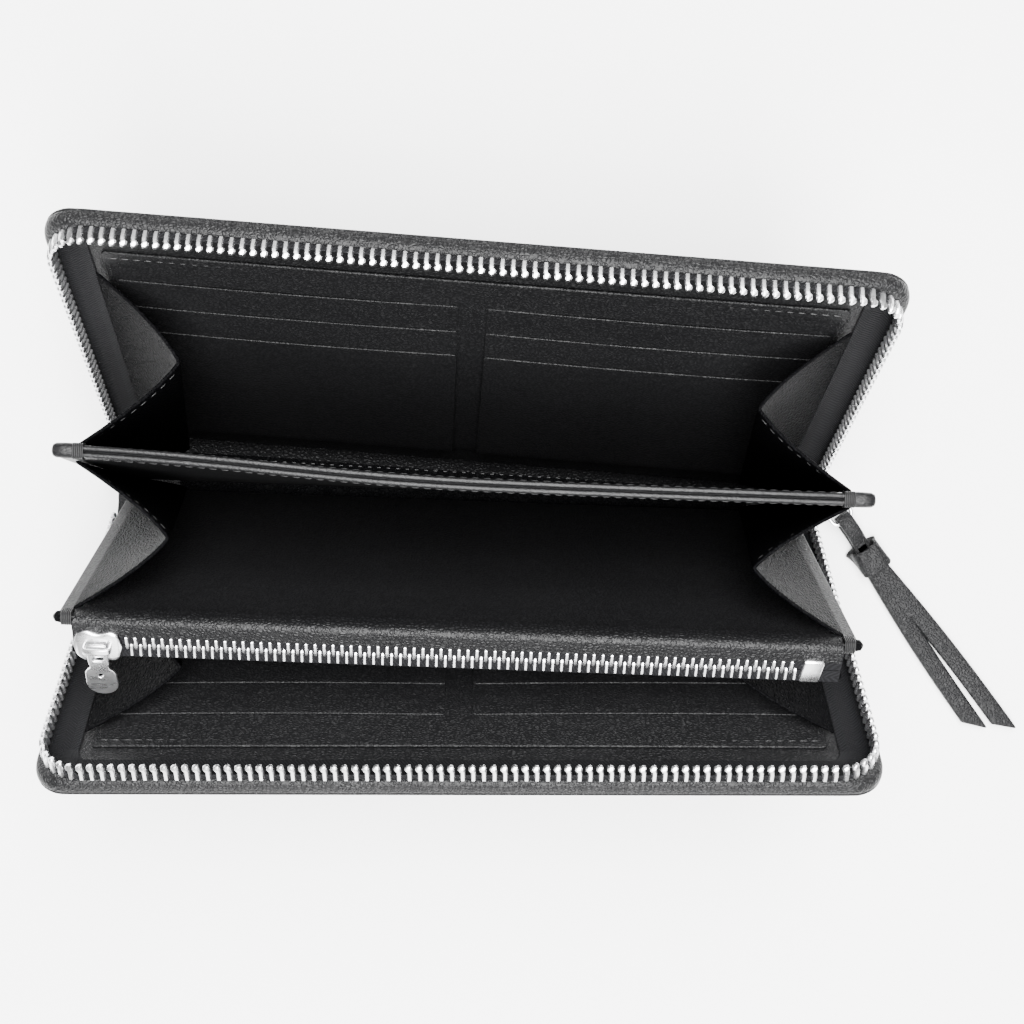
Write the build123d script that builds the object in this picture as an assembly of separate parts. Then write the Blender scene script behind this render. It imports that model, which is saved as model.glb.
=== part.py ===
from build123d import *
import os
from math import cos, degrees, pi, radians, sin

os.makedirs("parts", exist_ok=True)

# Long zip-around wallet, standing on its spine and held open in a V. Millimetres.
# +X runs along the length, +Y towards the rear cover, +Z up. Origin: middle of the spine's underside.
# Every leaf is drawn in its closed place, upright and parallel to XZ, and then swung to its rest angle.

# Overall
LENGTH = 195.0            # along the spine
HEIGHT = 104.0            # spine underside to top edge when closed
HALF_GAP = 8.3            # closed: middle plane to a cover's inner face
CORNER_R = 8.0            # top corners of the covers
COVER_FOOT = 8.5          # height where the stiff covers begin
BODY_GAP = 0.3            # least play between pieces that move against each other

# Cover layers, outside to inside
OUTER_T = 0.9
BOARD_T = 0.6
LINING_T = 0.4
EDGE_W = 1.3              # turned edge strip round three sides
EDGE_LIP = 0.6            # how far it stands above the lining
EDGE_PLAY = 0.1           # between the strip and the layers inside it

# Rest angles (degrees) and hinge lines of the leaves
HINGE_Z = 5.0
REAR_LEAN = 27.5
FRONT_LEAN = 37.3
POCKET_LEAN = 21.5
REAR_FAN = 5.5            # tilt of the hinge line that opens the left end wider
FRONT_FAN = 3.5

# Main zip
TAPE_INSET = 2.0
TAPE_T = 0.6
TAPE_CORNER_R = 11.0
TOOTH_PITCH = 2.4
TOOTH_L = 4.2
TOOTH_W = 1.15
TOOTH_T = 1.9
TOOTH_TIP = 6.6           # reach of the tips above the lining
TOOTH_PLAY = 0.02

# Card pockets
PANEL_HALF = LENGTH / 2 - 11.5
PANEL_FOOT = 12.0
PANEL_TOP = HEIGHT - 12.8
PANEL_T = 0.7
PANEL_CORNER_R = 1.0
SLOT_PITCH = 10.0
SLOT_ROWS = 3
SLOT_T = 0.3
SLOT_LIE = 0.05            # air between two layers
SLOT_MARGIN = 2.0         # panel edge to the outer end of a slot
CENTRE_STRIP = 6.6        # between the two columns

# Divider
DIVIDER_HALF = LENGTH / 2 - 6.5
DIVIDER_FOOT = 5.0
DIVIDER_TOP = HEIGHT - 12.0
DIVIDER_FRONT = -0.4      # closed: front face
LEAF_T = 1.2
CORE_T = 0.4
CORE_PLAY = 0.06          # glue line between core and leaves
DIVIDER_STEP = DIVIDER_HALF / 13   # spacing of the stations along the swayed leaves
DIVIDER_SWAY = 3.0        # how far the left end of the top edge is pushed to the rear
TACK_FROM_END = 5.0
TACK_W = 0.8
TACK_PROUD = 0.25
TACK_DEPTH = 2.5
TACK_LEAN_PLAY = 0.12     # room for the sway's slope over the tack's depth
DIVIDER_FOOT_INSET = 6.0
DIVIDER_FOOT_T = 1.8

# Coin pocket
POCKET_HALF = LENGTH / 2 - 6.5
POCKET_FOOT = 9.0
POCKET_TOP = HEIGHT - 16.0
POCKET_REAR = -0.9        # closed: rear face
WALL_T = 0.7
POCKET_DEPTH = 2.4        # closed: between the two walls' outer faces
POCKET_HEM = 2.0
FRONT_WALL_TOP = HEIGHT - 28.0
BAG_T = 0.2
BAG_DROP = 2.0            # how far the textile lining stops below the front wall's edge

# Coin zip: a band hinged on the rear wall's top edge
BAND_DROP_CLOSED = 86.0   # degrees below level when the wallet is closed
BAND_DROP_OPEN = 12.0
BAND_Y = -3.0
BAND_REACH = 8.6
BAND_END = 3.3            # how far the band stops short of the pocket's ends
COIN_TAPE_T = 0.5
TAPE_PLAY = 0.1           # between a tape and its teeth
COIN_TAPE_REAR = 3.6      # rear strip, up to the teeth
COIN_TAPE_FRONT = 1.4
COIN_PITCH = 2.05
COIN_TOOTH_L = 2.4
COIN_TOOTH_W = 0.9
COIN_TOOTH_T = 1.4
CHAIN_END = 8.0           # pocket end to the last tooth
STOP_SIZE = (4.0, 5.6, 1.9)
SLIDER_L = 11.0
SLIDER_REAR_HALF = 3.6    # from the chain's middle line to the slider's rear edge
SLIDER_T = 2.6
SLIDER_WALL = 0.4         # upper plate, lower plate and the lip round the band's front edge
SLIDER_PLAY = 0.2         # round the teeth and the tape
SLIDER_FROM_END = 3.5     # pocket end to the slider
SLIDER_NOSE = 1.0         # how much the slider narrows at its ends
SLIDER_NOSE_L = 1.5
FIRST_TOOTH = 0.6         # slider to the first tooth
BAIL_L = 6.0
BAIL_W = 1.0
BAIL_H = 2.4
BAIL_T = 0.6
TAB_W = 7.0
TAB_L = 9.6
TAB_T = 0.7
TAB_CORNER_R = 3.15
LINK_W = 4.4
LINK_L = 6.8
LINK_BAR = 0.7
LINK_BEHIND = 1.0         # near bar, behind the bail's bar
LINK_BELOW = 1.05         # link's plane, below the bail's bar
TAB_DROP = 7.0            # degrees below the band's plane

# Gussets
GUSSET_X = LENGTH / 2 - 9.5
GUSSET_T = 0.5
GUSSET_FOOT = 13.0
GUSSET_TOP = HEIGHT - 19.0
VALLEY_TOP_X = GUSSET_X - 21.0
VALLEY_FOOT_X = GUSSET_X - 12.0
GUSSET_PLAY = 0.5
FRONT_GUSSET_DROP = 4.0   # the front pair ends this far below the pocket's front edge
FRONT_GUSSET_RISE = 2.0   # and this far above the other pairs on the cover's side

# Spine
SPINE_T = 1.1
SPINE_LINING_T = 0.6
SPINE_FRONT_EDGE = (9.0, 8.0)     # from the middle line, at the left and right ends
SPINE_REAR_EDGE = (8.5, 4.0)
SPINE_FLOOR_HALF = LENGTH / 2 - 21.5
SPINE_FLOOR_TRIM = 0.4

# Main slider and leather puller at the spine's right end
MAIN_SLIDER = (3.4, 8.6, 9.0)
MAIN_SLIDER_FOOT = 0.6
MAIN_SLIDER_CHAMFER = 1.2
SLIDER_GAP = 0.4
NECK = (6.0, 3.0, 1.6)    # tongue that lies on the spine's end
STOP_BLOCK = (1.8, 5.0, 7.0)
STOP_GAP = 0.4
POST_R = 0.8
POST_OUT = 4.0
POST_H = 5.0
ARM_T = 1.0
RING_LENGTH = 5.3         # wire's middle line, along the strap
RING_BREADTH = 6.4
RING_CORNER_R = 2.0
RING_WIRE = 0.6
RING_Z = 4.0
RING_PLAY = 0.35          # between ring and post, and between ring and strap
STRAP_W = 5.0
LOOP_W = 4.2              # where it passes through the ring
LOOP_T = 1.3
TABLE_GAP = 0.15          # strap above the table
STRAP_T = 1.9
STRAP_SPREAD = 5.7        # degrees between the two tails
STRAP_HEADING = -52.4
LONG_TAIL = 68.0
SHORT_TAIL = 63.0
TAIL_GAP = 0.2
KEEPER_L = 8.0
KEEPER_T = 1.0
KEEPER_SLACK = 0.9        # beside the tails
KEEPER_LIFT = 0.1         # above the tails
RUN_L = 8.0               # from the loop's bend to the tails
TAIL_START = 0.2          # tails, past the end of the loop
KEEPER_START = 0.6

# Worked out from the sizes above
HALF_LENGTH = LENGTH / 2
COVER_T = OUTER_T + BOARD_T + LINING_T
HINGE_Y = HALF_GAP + COVER_T / 2
DIVIDER_T = 2 * LEAF_T + CORE_T
DIVIDER_REAR = DIVIDER_FRONT + DIVIDER_T
POCKET_FRONT = POCKET_REAR - POCKET_DEPTH
REAR, FRONT = 1, -1
LEFT, RIGHT = -1, 1

REAR_AXIS = Axis((0, HINGE_Y, HINGE_Z), (cos(radians(REAR_FAN)), 0, sin(radians(REAR_FAN))))
FRONT_AXIS = Axis((0, -HINGE_Y, HINGE_Z), (cos(radians(FRONT_FAN)), 0, sin(radians(FRONT_FAN))))
POCKET_AXIS = Axis((0, -HINGE_Y, HINGE_Z), (1, 0, 0))
BAND_AXIS = Axis((0, BAND_Y, POCKET_TOP), (1, 0, 0))

nodes = {}


def keep(name, shape):
    """Name a finished piece."""
    nodes[name] = shape


def open_rear(shape):
    return shape.rotate(REAR_AXIS, -REAR_LEAN)


def open_front(shape):
    return shape.rotate(FRONT_AXIS, FRONT_LEAN)


def open_pocket(shape):
    return shape.rotate(POCKET_AXIS, POCKET_LEAN)


def open_band(shape):
    """The coin zip's band: drawn level, dropped a little, and then carried by the pocket."""
    return open_pocket(shape.rotate(BAND_AXIS, BAND_DROP_OPEN))


def stay(shape):
    return shape


def block(x, y, z):
    """A box from three (low, high) pairs."""
    size = [high - low for low, high in (x, y, z)]
    return Pos(sum(x) / 2, sum(y) / 2, sum(z) / 2) * Box(*size)


def leaf_y(side, n_low, n_high):
    """Y range of a layer, n being its height above a cover's inner face, towards the middle."""
    return tuple(sorted((side * (HALF_GAP - n_low), side * (HALF_GAP - n_high))))


def round_top(half, foot, top, radius, y):
    """An upright plate in XZ with its two top corners rounded."""
    sheet = Rectangle(2 * half, top - foot)
    sheet = fillet(sheet.vertices().group_by(Axis.Y)[-1], radius)
    return Pos(0, y[0], (foot + top) / 2) * extrude(Plane.XZ * sheet, amount=-(y[1] - y[0]))


def hoop(outer, inner_inset, radius, y):
    """A band round the left, top and right sides: a plate less a smaller one."""
    half, foot, top = outer
    hole = round_top(half - inner_inset, foot - 1, top - inner_inset, radius - inner_inset, y)
    return round_top(half, foot, top, radius, y) - hole


def arch_points(half, foot, top, radius, pitch):
    """Places every pitch along left side, corner, top, corner and right side: (x, z, heading)."""
    rise = top - radius - foot
    turn = radius * pi / 2
    span = 2 * (half - radius)
    total = 2 * rise + 2 * turn + span
    count = int(total // pitch)
    start = (total - (count - 1) * pitch) / 2
    places = []
    for i in range(count):
        s = start + i * pitch
        flip = 1
        if s > total / 2:
            s = total - s
            flip = -1
        if s < rise:
            x, z, heading = -half, foot + s, 90.0
        elif s < rise + turn:
            a = (s - rise) / radius
            x = -half + radius - radius * cos(a)
            z = top - radius + radius * sin(a)
            heading = 90.0 - degrees(a)
        else:
            x, z, heading = -half + radius + s - rise - turn, top, 0.0
        places.append((flip * x, z, flip * heading))
    return places


def sheet_solid(front, back):
    """A closed thin solid between two grids of points with equal rows and columns."""
    rows, columns = len(front), len(front[0])

    def triangles(a, b, c, d):
        return [Face(Wire.make_polygon(t)) for t in ((a, b, c), (a, c, d))]

    faces = []
    for grid in (front, back):
        for i in range(rows - 1):
            for j in range(columns - 1):
                faces += triangles(grid[i][j], grid[i][j + 1], grid[i + 1][j + 1], grid[i + 1][j])
    rim = [(0, j) for j in range(columns)] + [(i, columns - 1) for i in range(1, rows)]
    rim += [(rows - 1, j) for j in range(columns - 2, -1, -1)] + [(i, 0) for i in range(rows - 2, 0, -1)]
    for (i, j), (k, m) in zip(rim, rim[1:] + rim[:1]):
        faces += triangles(front[i][j], front[k][m], back[k][m], back[i][j])
    return Solid(Shell(faces))


# ---------------------------------------------------------------- covers
def build_cover(label, side, swing):
    """One cover with its zip half and card pockets."""
    half, top = HALF_LENGTH, HEIGHT
    outer = leaf_y(side, -COVER_T, -COVER_T + OUTER_T)
    keep(f"{label}_cover_leather", swing(round_top(half, COVER_FOOT, top, CORNER_R, outer)))

    inset = EDGE_W + EDGE_PLAY
    inner_half, inner_top, inner_r = half - inset, top - inset, CORNER_R - inset
    board = leaf_y(side, -BOARD_T - LINING_T, -LINING_T)
    keep(f"{label}_cover_board", swing(round_top(inner_half, COVER_FOOT, inner_top, inner_r, board)))
    lining = leaf_y(side, -LINING_T, 0)
    keep(f"{label}_cover_lining", swing(round_top(inner_half, COVER_FOOT, inner_top, inner_r, lining)))

    strip = leaf_y(side, -BOARD_T - LINING_T, EDGE_LIP)
    keep(f"{label}_edge_strip", swing(hoop((half, COVER_FOOT, top), EDGE_W, CORNER_R, strip)))

    tape = leaf_y(side, 0, TOOTH_TIP - TOOTH_L - TOOTH_PLAY)
    line = (half - TAPE_INSET, COVER_FOOT, top - TAPE_INSET)
    keep(f"{label}_zip_tape", swing(hoop(line, TAPE_T, TAPE_CORNER_R, tape)))

    tooth_y = leaf_y(side, TOOTH_TIP - TOOTH_L, TOOTH_TIP)
    tooth = Box(TOOTH_W, TOOTH_L, TOOTH_T)
    middle = TAPE_INSET + TAPE_T / 2
    places = arch_points(half - middle, COVER_FOOT, top - middle, TAPE_CORNER_R - TAPE_T / 2, TOOTH_PITCH)
    row = [Pos(x, sum(tooth_y) / 2, z) * Rot(0, -heading, 0) * tooth for x, z, heading in places]
    keep(f"{label}_zip_teeth", swing(Compound(children=row)))

    panel = leaf_y(side, 0, PANEL_T)
    keep(f"{label}_slip_pocket", swing(round_top(PANEL_HALF, PANEL_FOOT, PANEL_TOP, PANEL_CORNER_R, panel)))
    for column, column_name in ((LEFT, "left"), (RIGHT, "right")):
        x = sorted((column * CENTRE_STRIP / 2, column * (PANEL_HALF - SLOT_MARGIN)))
        layers = []
        for k in range(SLOT_ROWS):
            base = PANEL_T + k * (SLOT_T + SLOT_LIE) + SLOT_LIE
            y = leaf_y(side, base, base + SLOT_T)
            layers.append(block(x, y, (PANEL_FOOT, PANEL_TOP - (k + 1) * SLOT_PITCH)))
        keep(f"{label}_card_slots_{column_name}", swing(Compound(children=layers)))


build_cover("rear", REAR, open_rear)
build_cover("front", FRONT, open_front)


# ---------------------------------------------------------------- divider
def sway(x):
    """Rearward push of the divider's top edge, which fades out towards the middle."""
    reach = max(0.0, -x / DIVIDER_HALF)
    return DIVIDER_SWAY * reach ** 2


def divider_sheet(inset, y_low, y_high):
    """One layer of the divider, inset being how many stations it stops short of each end."""
    count = round(DIVIDER_HALF / DIVIDER_STEP) - inset
    xs = [i * DIVIDER_STEP for i in range(-count, count + 1)]
    grids = []
    for y in (y_low, y_high):
        foot = [(x, y, DIVIDER_FOOT) for x in xs]
        crest = [(x, y + sway(x), DIVIDER_TOP) for x in xs]
        grids.append([foot, crest])
    return sheet_solid(*grids)


keep("divider_front_leaf", divider_sheet(0, DIVIDER_FRONT, DIVIDER_FRONT + LEAF_T))
core_y = (DIVIDER_FRONT + LEAF_T + CORE_PLAY, DIVIDER_REAR - LEAF_T - CORE_PLAY)
keep("divider_core", divider_sheet(1, *core_y))
keep("divider_rear_leaf", divider_sheet(0, DIVIDER_REAR - LEAF_T, DIVIDER_REAR))


def bar_tack(x, shift, y_low, y_high, top):
    """A thread bar over a sewn edge: a staple of three legs."""
    width = (x - TACK_W / 2, x + TACK_W / 2)
    outside = (y_low - TACK_PROUD + shift, y_high + TACK_PROUD + shift)
    outer = block(width, outside, (top - TACK_DEPTH, top + TACK_PROUD))
    return outer - block((x - TACK_W, x + TACK_W), (y_low + shift, y_high + shift), (top - TACK_DEPTH - 1, top))


tack_x = DIVIDER_HALF - TACK_FROM_END
tack_y = (DIVIDER_FRONT - TACK_LEAN_PLAY, DIVIDER_REAR + TACK_LEAN_PLAY)
tacks = [bar_tack(end * tack_x, sway(end * tack_x), *tack_y, DIVIDER_TOP) for end in (LEFT, RIGHT)]
keep("divider_bar_tacks", Compound(children=tacks))


# ---------------------------------------------------------------- coin pocket
pocket_z = (POCKET_FOOT, POCKET_TOP)
rear_wall = block((-POCKET_HALF, POCKET_HALF), (POCKET_REAR - WALL_T, POCKET_REAR), pocket_z)
keep("coin_pocket_rear_wall", open_pocket(rear_wall))
front_wall_y = (POCKET_FRONT, POCKET_FRONT + WALL_T)
front_wall = block((-POCKET_HALF, POCKET_HALF), front_wall_y, (POCKET_FOOT, FRONT_WALL_TOP))
keep("coin_pocket_front_wall", open_pocket(front_wall))

inside_y = (POCKET_FRONT + WALL_T, POCKET_REAR - WALL_T)
inside_x = POCKET_HALF - POCKET_HEM
hem = block((-POCKET_HALF, POCKET_HALF), inside_y, (POCKET_FOOT, FRONT_WALL_TOP))
hem -= block((-inside_x, inside_x), inside_y, (POCKET_FOOT + POCKET_HEM, FRONT_WALL_TOP))
keep("coin_pocket_welt", open_pocket(hem))

bag_z = (POCKET_FOOT + POCKET_HEM, FRONT_WALL_TOP - BAG_DROP)
bag = [block((-inside_x, inside_x), (inside_y[0], inside_y[0] + BAG_T), bag_z),
       block((-inside_x, inside_x), (inside_y[1] - BAG_T, inside_y[1]), bag_z)]
keep("coin_pocket_lining", open_pocket(Compound(children=bag)))

pocket_tack_x = POCKET_HALF - TACK_FROM_END / 2
pocket_tacks = [bar_tack(end * pocket_tack_x, 0, POCKET_REAR - WALL_T, POCKET_REAR, POCKET_TOP)
                for end in (LEFT, RIGHT)]
keep("coin_pocket_bar_tacks", open_pocket(Compound(children=pocket_tacks)))


# Coin zip, drawn as a level band that reaches forward from the rear wall's top edge.
def band_y(s_low, s_high):
    """Y range of a strip, s being the distance forward from the band's fold line."""
    return BAND_Y - s_high, BAND_Y - s_low


band_x = (-POCKET_HALF + BAND_END, POCKET_HALF - BAND_END)
tape_z = (POCKET_TOP - COIN_TAPE_T / 2, POCKET_TOP + COIN_TAPE_T / 2)
wall_gap = POCKET_REAR - WALL_T - BAND_Y - BODY_GAP
rear_strip = block(band_x, band_y(-wall_gap, COIN_TAPE_REAR - TAPE_PLAY), tape_z)
front_strip = block(band_x, band_y(BAND_REACH - COIN_TAPE_FRONT + TAPE_PLAY, BAND_REACH), tape_z)
keep("coin_zip_tape_rear", open_band(rear_strip))
keep("coin_zip_tape_front", open_band(front_strip))

SLIDER_X = -POCKET_HALF + SLIDER_FROM_END + SLIDER_L / 2
slider_x = (SLIDER_X - SLIDER_L / 2, SLIDER_X + SLIDER_L / 2)
chain_start = slider_x[1] + FIRST_TOOTH
chain_end = POCKET_HALF - CHAIN_END - STOP_SIZE[0]
chain_count = int((chain_end - chain_start) // COIN_PITCH)
coin_tooth = Box(COIN_TOOTH_W, COIN_TOOTH_L, COIN_TOOTH_T)
for name, y, offset in (
    ("rear", sum(band_y(COIN_TAPE_REAR, COIN_TAPE_REAR + COIN_TOOTH_L)) / 2, 0.0),
    ("front", sum(band_y(BAND_REACH - COIN_TAPE_FRONT - COIN_TOOTH_L, BAND_REACH - COIN_TAPE_FRONT)) / 2, 0.5),
):
    row = [Pos(chain_start + COIN_TOOTH_W / 2 + (i + offset) * COIN_PITCH, y, POCKET_TOP) * coin_tooth
           for i in range(chain_count)]
    keep(f"coin_zip_teeth_{name}", open_band(Compound(children=row)))

chain_mid = (COIN_TAPE_REAR + BAND_REACH - COIN_TAPE_FRONT) / 2
stop_x = (chain_end, chain_end + STOP_SIZE[0])
stop = block(stop_x, band_y(chain_mid - STOP_SIZE[1] / 2, chain_mid + STOP_SIZE[1] / 2),
             (POCKET_TOP - STOP_SIZE[2] / 2, POCKET_TOP + STOP_SIZE[2] / 2))
stop -= rear_strip + front_strip
keep("coin_zip_stop", open_band(stop))

# Slider: two plates joined by a lip round the band's front edge, with a channel for the teeth
chain_y = BAND_Y - chain_mid
slider_y = band_y(chain_mid - SLIDER_REAR_HALF, BAND_REACH + BODY_GAP + SLIDER_WALL)
slider_z = (POCKET_TOP - SLIDER_T / 2, POCKET_TOP + SLIDER_T / 2)
nose_x = slider_x[0] + SLIDER_NOSE_L
nose_y = (slider_y[0] + SLIDER_NOSE, slider_y[1] - SLIDER_NOSE)
outline = Polygon((nose_x, slider_y[0]), (slider_x[1], nose_y[0]), (slider_x[1], nose_y[1]),
                  (nose_x, slider_y[1]), (slider_x[0], nose_y[1]), (slider_x[0], nose_y[0]), align=None)
slider = extrude(Pos(0, 0, slider_z[0]) * outline, amount=SLIDER_T)
through = (slider_x[0] - 1, slider_x[1] + 1)
channel_half = COIN_TOOTH_L + SLIDER_PLAY
channel_z = (slider_z[0] + SLIDER_WALL, slider_z[1] - SLIDER_WALL)
slider -= block(through, (chain_y - channel_half, chain_y + channel_half), channel_z)
slit_half = COIN_TAPE_T / 2 + SLIDER_PLAY
slit_y = (slider_y[0] + SLIDER_WALL, slider_y[1] + 1)
slider -= block(through, slit_y, (POCKET_TOP - slit_half, POCKET_TOP + slit_half))
bail_x = (SLIDER_X - BAIL_L / 2, SLIDER_X + BAIL_L / 2)
bail_top = slider_z[1] + BAIL_H
bail = block(bail_x, (chain_y - BAIL_W / 2, chain_y + BAIL_W / 2), (slider_z[1], bail_top))
bail -= block((bail_x[0] + BAIL_T, bail_x[1] - BAIL_T), (chain_y - BAIL_W, chain_y + BAIL_W),
              (slider_z[1], bail_top - BAIL_T))
keep("coin_zip_slider", open_band(slider + bail))

# Pull tab: a link passes under the bail's bar and carries the rounded tab, over the band's front edge
link = Rectangle(LINK_W, LINK_L) - Rectangle(LINK_W - 2 * LINK_BAR, LINK_L - 2 * LINK_BAR)
tab_end = Pos(0, -(LINK_L + TAB_L) / 2 + LINK_BAR) * RectangleRounded(TAB_W, TAB_L, TAB_CORNER_R)
tab = extrude(link + tab_end, amount=TAB_T / 2, both=True)
tab = Pos(0, LINK_BEHIND + LINK_BAR / 2 - LINK_L / 2, -LINK_BELOW) * tab
BAIL_PIN = (SLIDER_X, chain_y, bail_top - BAIL_T / 2)
keep("coin_zip_pull_tab", open_band(Pos(*BAIL_PIN) * Rot(TAB_DROP, 0, 0) * tab))


# ---------------------------------------------------------------- gussets
def place(swing, x, y, z):
    return swing(Vertex(x, y, z)).center()


def build_gusset(name, hand, rear_swing, rear_y, front_swing, front_y, tops=(GUSSET_TOP, GUSSET_TOP)):
    """A V-folded sheet from one leaf to the next. Its fold, the valley, points into the wallet."""
    rows = []
    feet = (GUSSET_FOOT, GUSSET_FOOT)
    for (rear_z, front_z), valley_x in ((feet, VALLEY_FOOT_X), (tops, VALLEY_TOP_X)):
        a = place(rear_swing, hand * GUSSET_X, rear_y, rear_z)
        b = place(front_swing, hand * GUSSET_X, front_y, front_z)
        fold = (a + b) / 2
        fold.X = hand * valley_x
        rows.append([a, fold, b])
    step = Vector(hand * GUSSET_T, 0, 0)
    keep(name, sheet_solid(rows, [[p + step for p in row] for row in rows]))


PANEL_FACE = PANEL_T + SLOT_ROWS * (SLOT_T + SLOT_LIE)
front_tops = (FRONT_WALL_TOP - FRONT_GUSSET_DROP, GUSSET_TOP + FRONT_GUSSET_RISE)
rear_stack_y = HALF_GAP - PANEL_FACE - GUSSET_PLAY
front_stack_y = -rear_stack_y
for hand, hand_name in ((LEFT, "left"), (RIGHT, "right")):
    lean = max(0.0, sway(hand * GUSSET_X))
    build_gusset(f"rear_gusset_{hand_name}", hand, open_rear, rear_stack_y,
                 stay, DIVIDER_REAR + GUSSET_PLAY + lean)
    build_gusset(f"middle_gusset_{hand_name}", hand, stay, DIVIDER_FRONT - GUSSET_PLAY,
                 open_pocket, POCKET_REAR + GUSSET_PLAY)
    build_gusset(f"front_gusset_{hand_name}", hand, open_pocket, POCKET_FRONT - GUSSET_PLAY,
                 open_front, front_stack_y, front_tops)


# ---------------------------------------------------------------- spine
def spine_plate(half, z_low, z_high, trim=0.0):
    """A floor plate, wider at its left end."""
    front = [edge - trim for edge in SPINE_FRONT_EDGE]
    rear = [edge - trim for edge in SPINE_REAR_EDGE]
    outline = Polygon((-half, -front[0]), (half, -front[1]), (half, rear[1]), (-half, rear[0]), align=None)
    return extrude(Pos(0, 0, z_low) * outline, amount=z_high - z_low)


keep("spine_leather", spine_plate(HALF_LENGTH, 0, SPINE_T))
floor_z = SPINE_T + SPINE_LINING_T
keep("spine_lining", spine_plate(SPINE_FLOOR_HALF, SPINE_T, floor_z, trim=SPINE_FLOOR_TRIM))
foot_half = DIVIDER_HALF - DIVIDER_FOOT_INSET
foot_mid = (DIVIDER_FRONT + DIVIDER_REAR) / 2
foot_y = (foot_mid - DIVIDER_FOOT_T / 2, foot_mid + DIVIDER_FOOT_T / 2)
keep("divider_foot", block((-foot_half, foot_half), foot_y, (floor_z, DIVIDER_FOOT)))


# ---------------------------------------------------------------- main zip: bottom stop, slider and puller
def tongue(end):
    """The metal tongue at one end of the spine, lying on the leather."""
    x = sorted((end * (HALF_LENGTH - NECK[0]), end * (HALF_LENGTH + SLIDER_GAP)))
    return block(x, (-NECK[1] / 2, NECK[1] / 2), (SPINE_T, SPINE_T + NECK[2]))


stop_out = HALF_LENGTH + STOP_GAP
end_stop = block((-stop_out - STOP_BLOCK[0], -stop_out), (-STOP_BLOCK[1] / 2, STOP_BLOCK[1] / 2),
                 (SPINE_T, SPINE_T + STOP_BLOCK[2]))
keep("main_zip_bottom_stop", end_stop + tongue(LEFT))

slider_low = HALF_LENGTH + SLIDER_GAP
slider_high = slider_low + MAIN_SLIDER[0]
body_y = (-MAIN_SLIDER[1] / 2, MAIN_SLIDER[1] / 2)
body = block((slider_low, slider_high), body_y, (MAIN_SLIDER_FOOT, MAIN_SLIDER[2]))
body = chamfer(body.edges().filter_by(Axis.Z), MAIN_SLIDER_CHAMFER)
post_x = slider_high + POST_OUT
post_y = -MAIN_SLIDER[1] / 4
arm_x = (slider_high, post_x + POST_R)
arm_y = (post_y - POST_R, post_y + POST_R)
arms = [block(arm_x, arm_y, (RING_Z - POST_H / 2, RING_Z - POST_H / 2 + ARM_T)),
        block(arm_x, arm_y, (RING_Z + POST_H / 2 - ARM_T, RING_Z + POST_H / 2))]
post = Pos(post_x, post_y, RING_Z) * Cylinder(POST_R, POST_H)
keep("main_zip_slider", body + tongue(RIGHT) + arms[0] + arms[1] + post)

# The ring lies level round the post; the strap leaves its far side along the heading
heading = radians(STRAP_HEADING)
along = Vector(cos(heading), sin(heading), 0)
ring_mid = Vector(post_x, post_y, RING_Z) + along * (RING_LENGTH / 2 - RING_WIRE - POST_R - RING_PLAY)
ring_plane = Plane(origin=tuple(ring_mid), x_dir=tuple(along), z_dir=(0, 0, 1))
ring_path = RectangleRounded(RING_LENGTH, RING_BREADTH, RING_CORNER_R).wire()
wire_start = ring_path.position_at(0)
wire_section = Plane(origin=wire_start, z_dir=ring_path.tangent_at(0)) * Circle(RING_WIRE)
keep("main_pull_ring", ring_plane.location * sweep(wire_section, path=ring_path))

# Strap frame: local x along the heading, local z up, origin in the ring's far bar
bend = ring_mid + along * (RING_LENGTH / 2)
strap_frame = Plane(origin=tuple(bend), x_dir=tuple(along), z_dir=(0, 0, 1)).location
loop_in = RING_WIRE + RING_PLAY
loop_out = loop_in + LOOP_T
arch = Rot(90, 0, 0) * (Cylinder(loop_out, LOOP_W) - Cylinder(loop_in, LOOP_W))
arch -= Pos(loop_out, 0, 0) * Box(2 * loop_out, LOOP_W + 1, 2 * loop_out)
runs = [block((0, RUN_L), (-LOOP_W / 2, LOOP_W / 2), z) for z in ((loop_in, loop_out), (-loop_out, -loop_in))]
keep("strap_loop", strap_frame * (arch + runs[0] + runs[1]))

tail_low = TABLE_GAP - RING_Z
lower_z = (tail_low, tail_low + STRAP_T)
upper_z = (lower_z[1] + TAIL_GAP, lower_z[1] + TAIL_GAP + STRAP_T)


def tail(length, z, turn):
    """A flat tail with a slanted end."""
    half = STRAP_W / 2
    shape = Polygon((0, -half), (length - STRAP_W, -half), (length, 0), (length - half / 2, half), (0, half),
                    align=None)
    solid = extrude(Pos(0, 0, z[0]) * shape, amount=z[1] - z[0])
    return Pos(RUN_L + TAIL_START, 0, 0) * Rot(0, 0, turn) * solid


keep("strap_tail_long", strap_frame * tail(LONG_TAIL, upper_z, STRAP_SPREAD / 2))
keep("strap_tail_short", strap_frame * tail(SHORT_TAIL, lower_z, -STRAP_SPREAD / 2))

keeper_x = (RUN_L + KEEPER_START, RUN_L + KEEPER_START + KEEPER_L)
keeper_half = STRAP_W / 2 + KEEPER_SLACK
keeper_top = upper_z[1] + KEEPER_LIFT
keeper = block(keeper_x, (-keeper_half - KEEPER_T, keeper_half + KEEPER_T), (lower_z[0], keeper_top + KEEPER_T))
keeper -= block((keeper_x[0] - 1, keeper_x[1] + 1), (-keeper_half, keeper_half), (lower_z[0], keeper_top))
keep("strap_keeper", strap_frame * keeper)

for name, shape in nodes.items():
    export_step(shape, f"parts/{name}.step")
print(len(nodes), "nodes")
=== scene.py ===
"""Zip-around long wallet in black calf, standing on its spine and held open.

Sizes are in millimetres until a mesh is made. +X runs along the length, +Y to the rear, +Z up.
"""

import logging
import math
from dataclasses import dataclass, field
from enum import Enum
from typing import Callable, Iterable, Optional, Sequence

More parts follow.
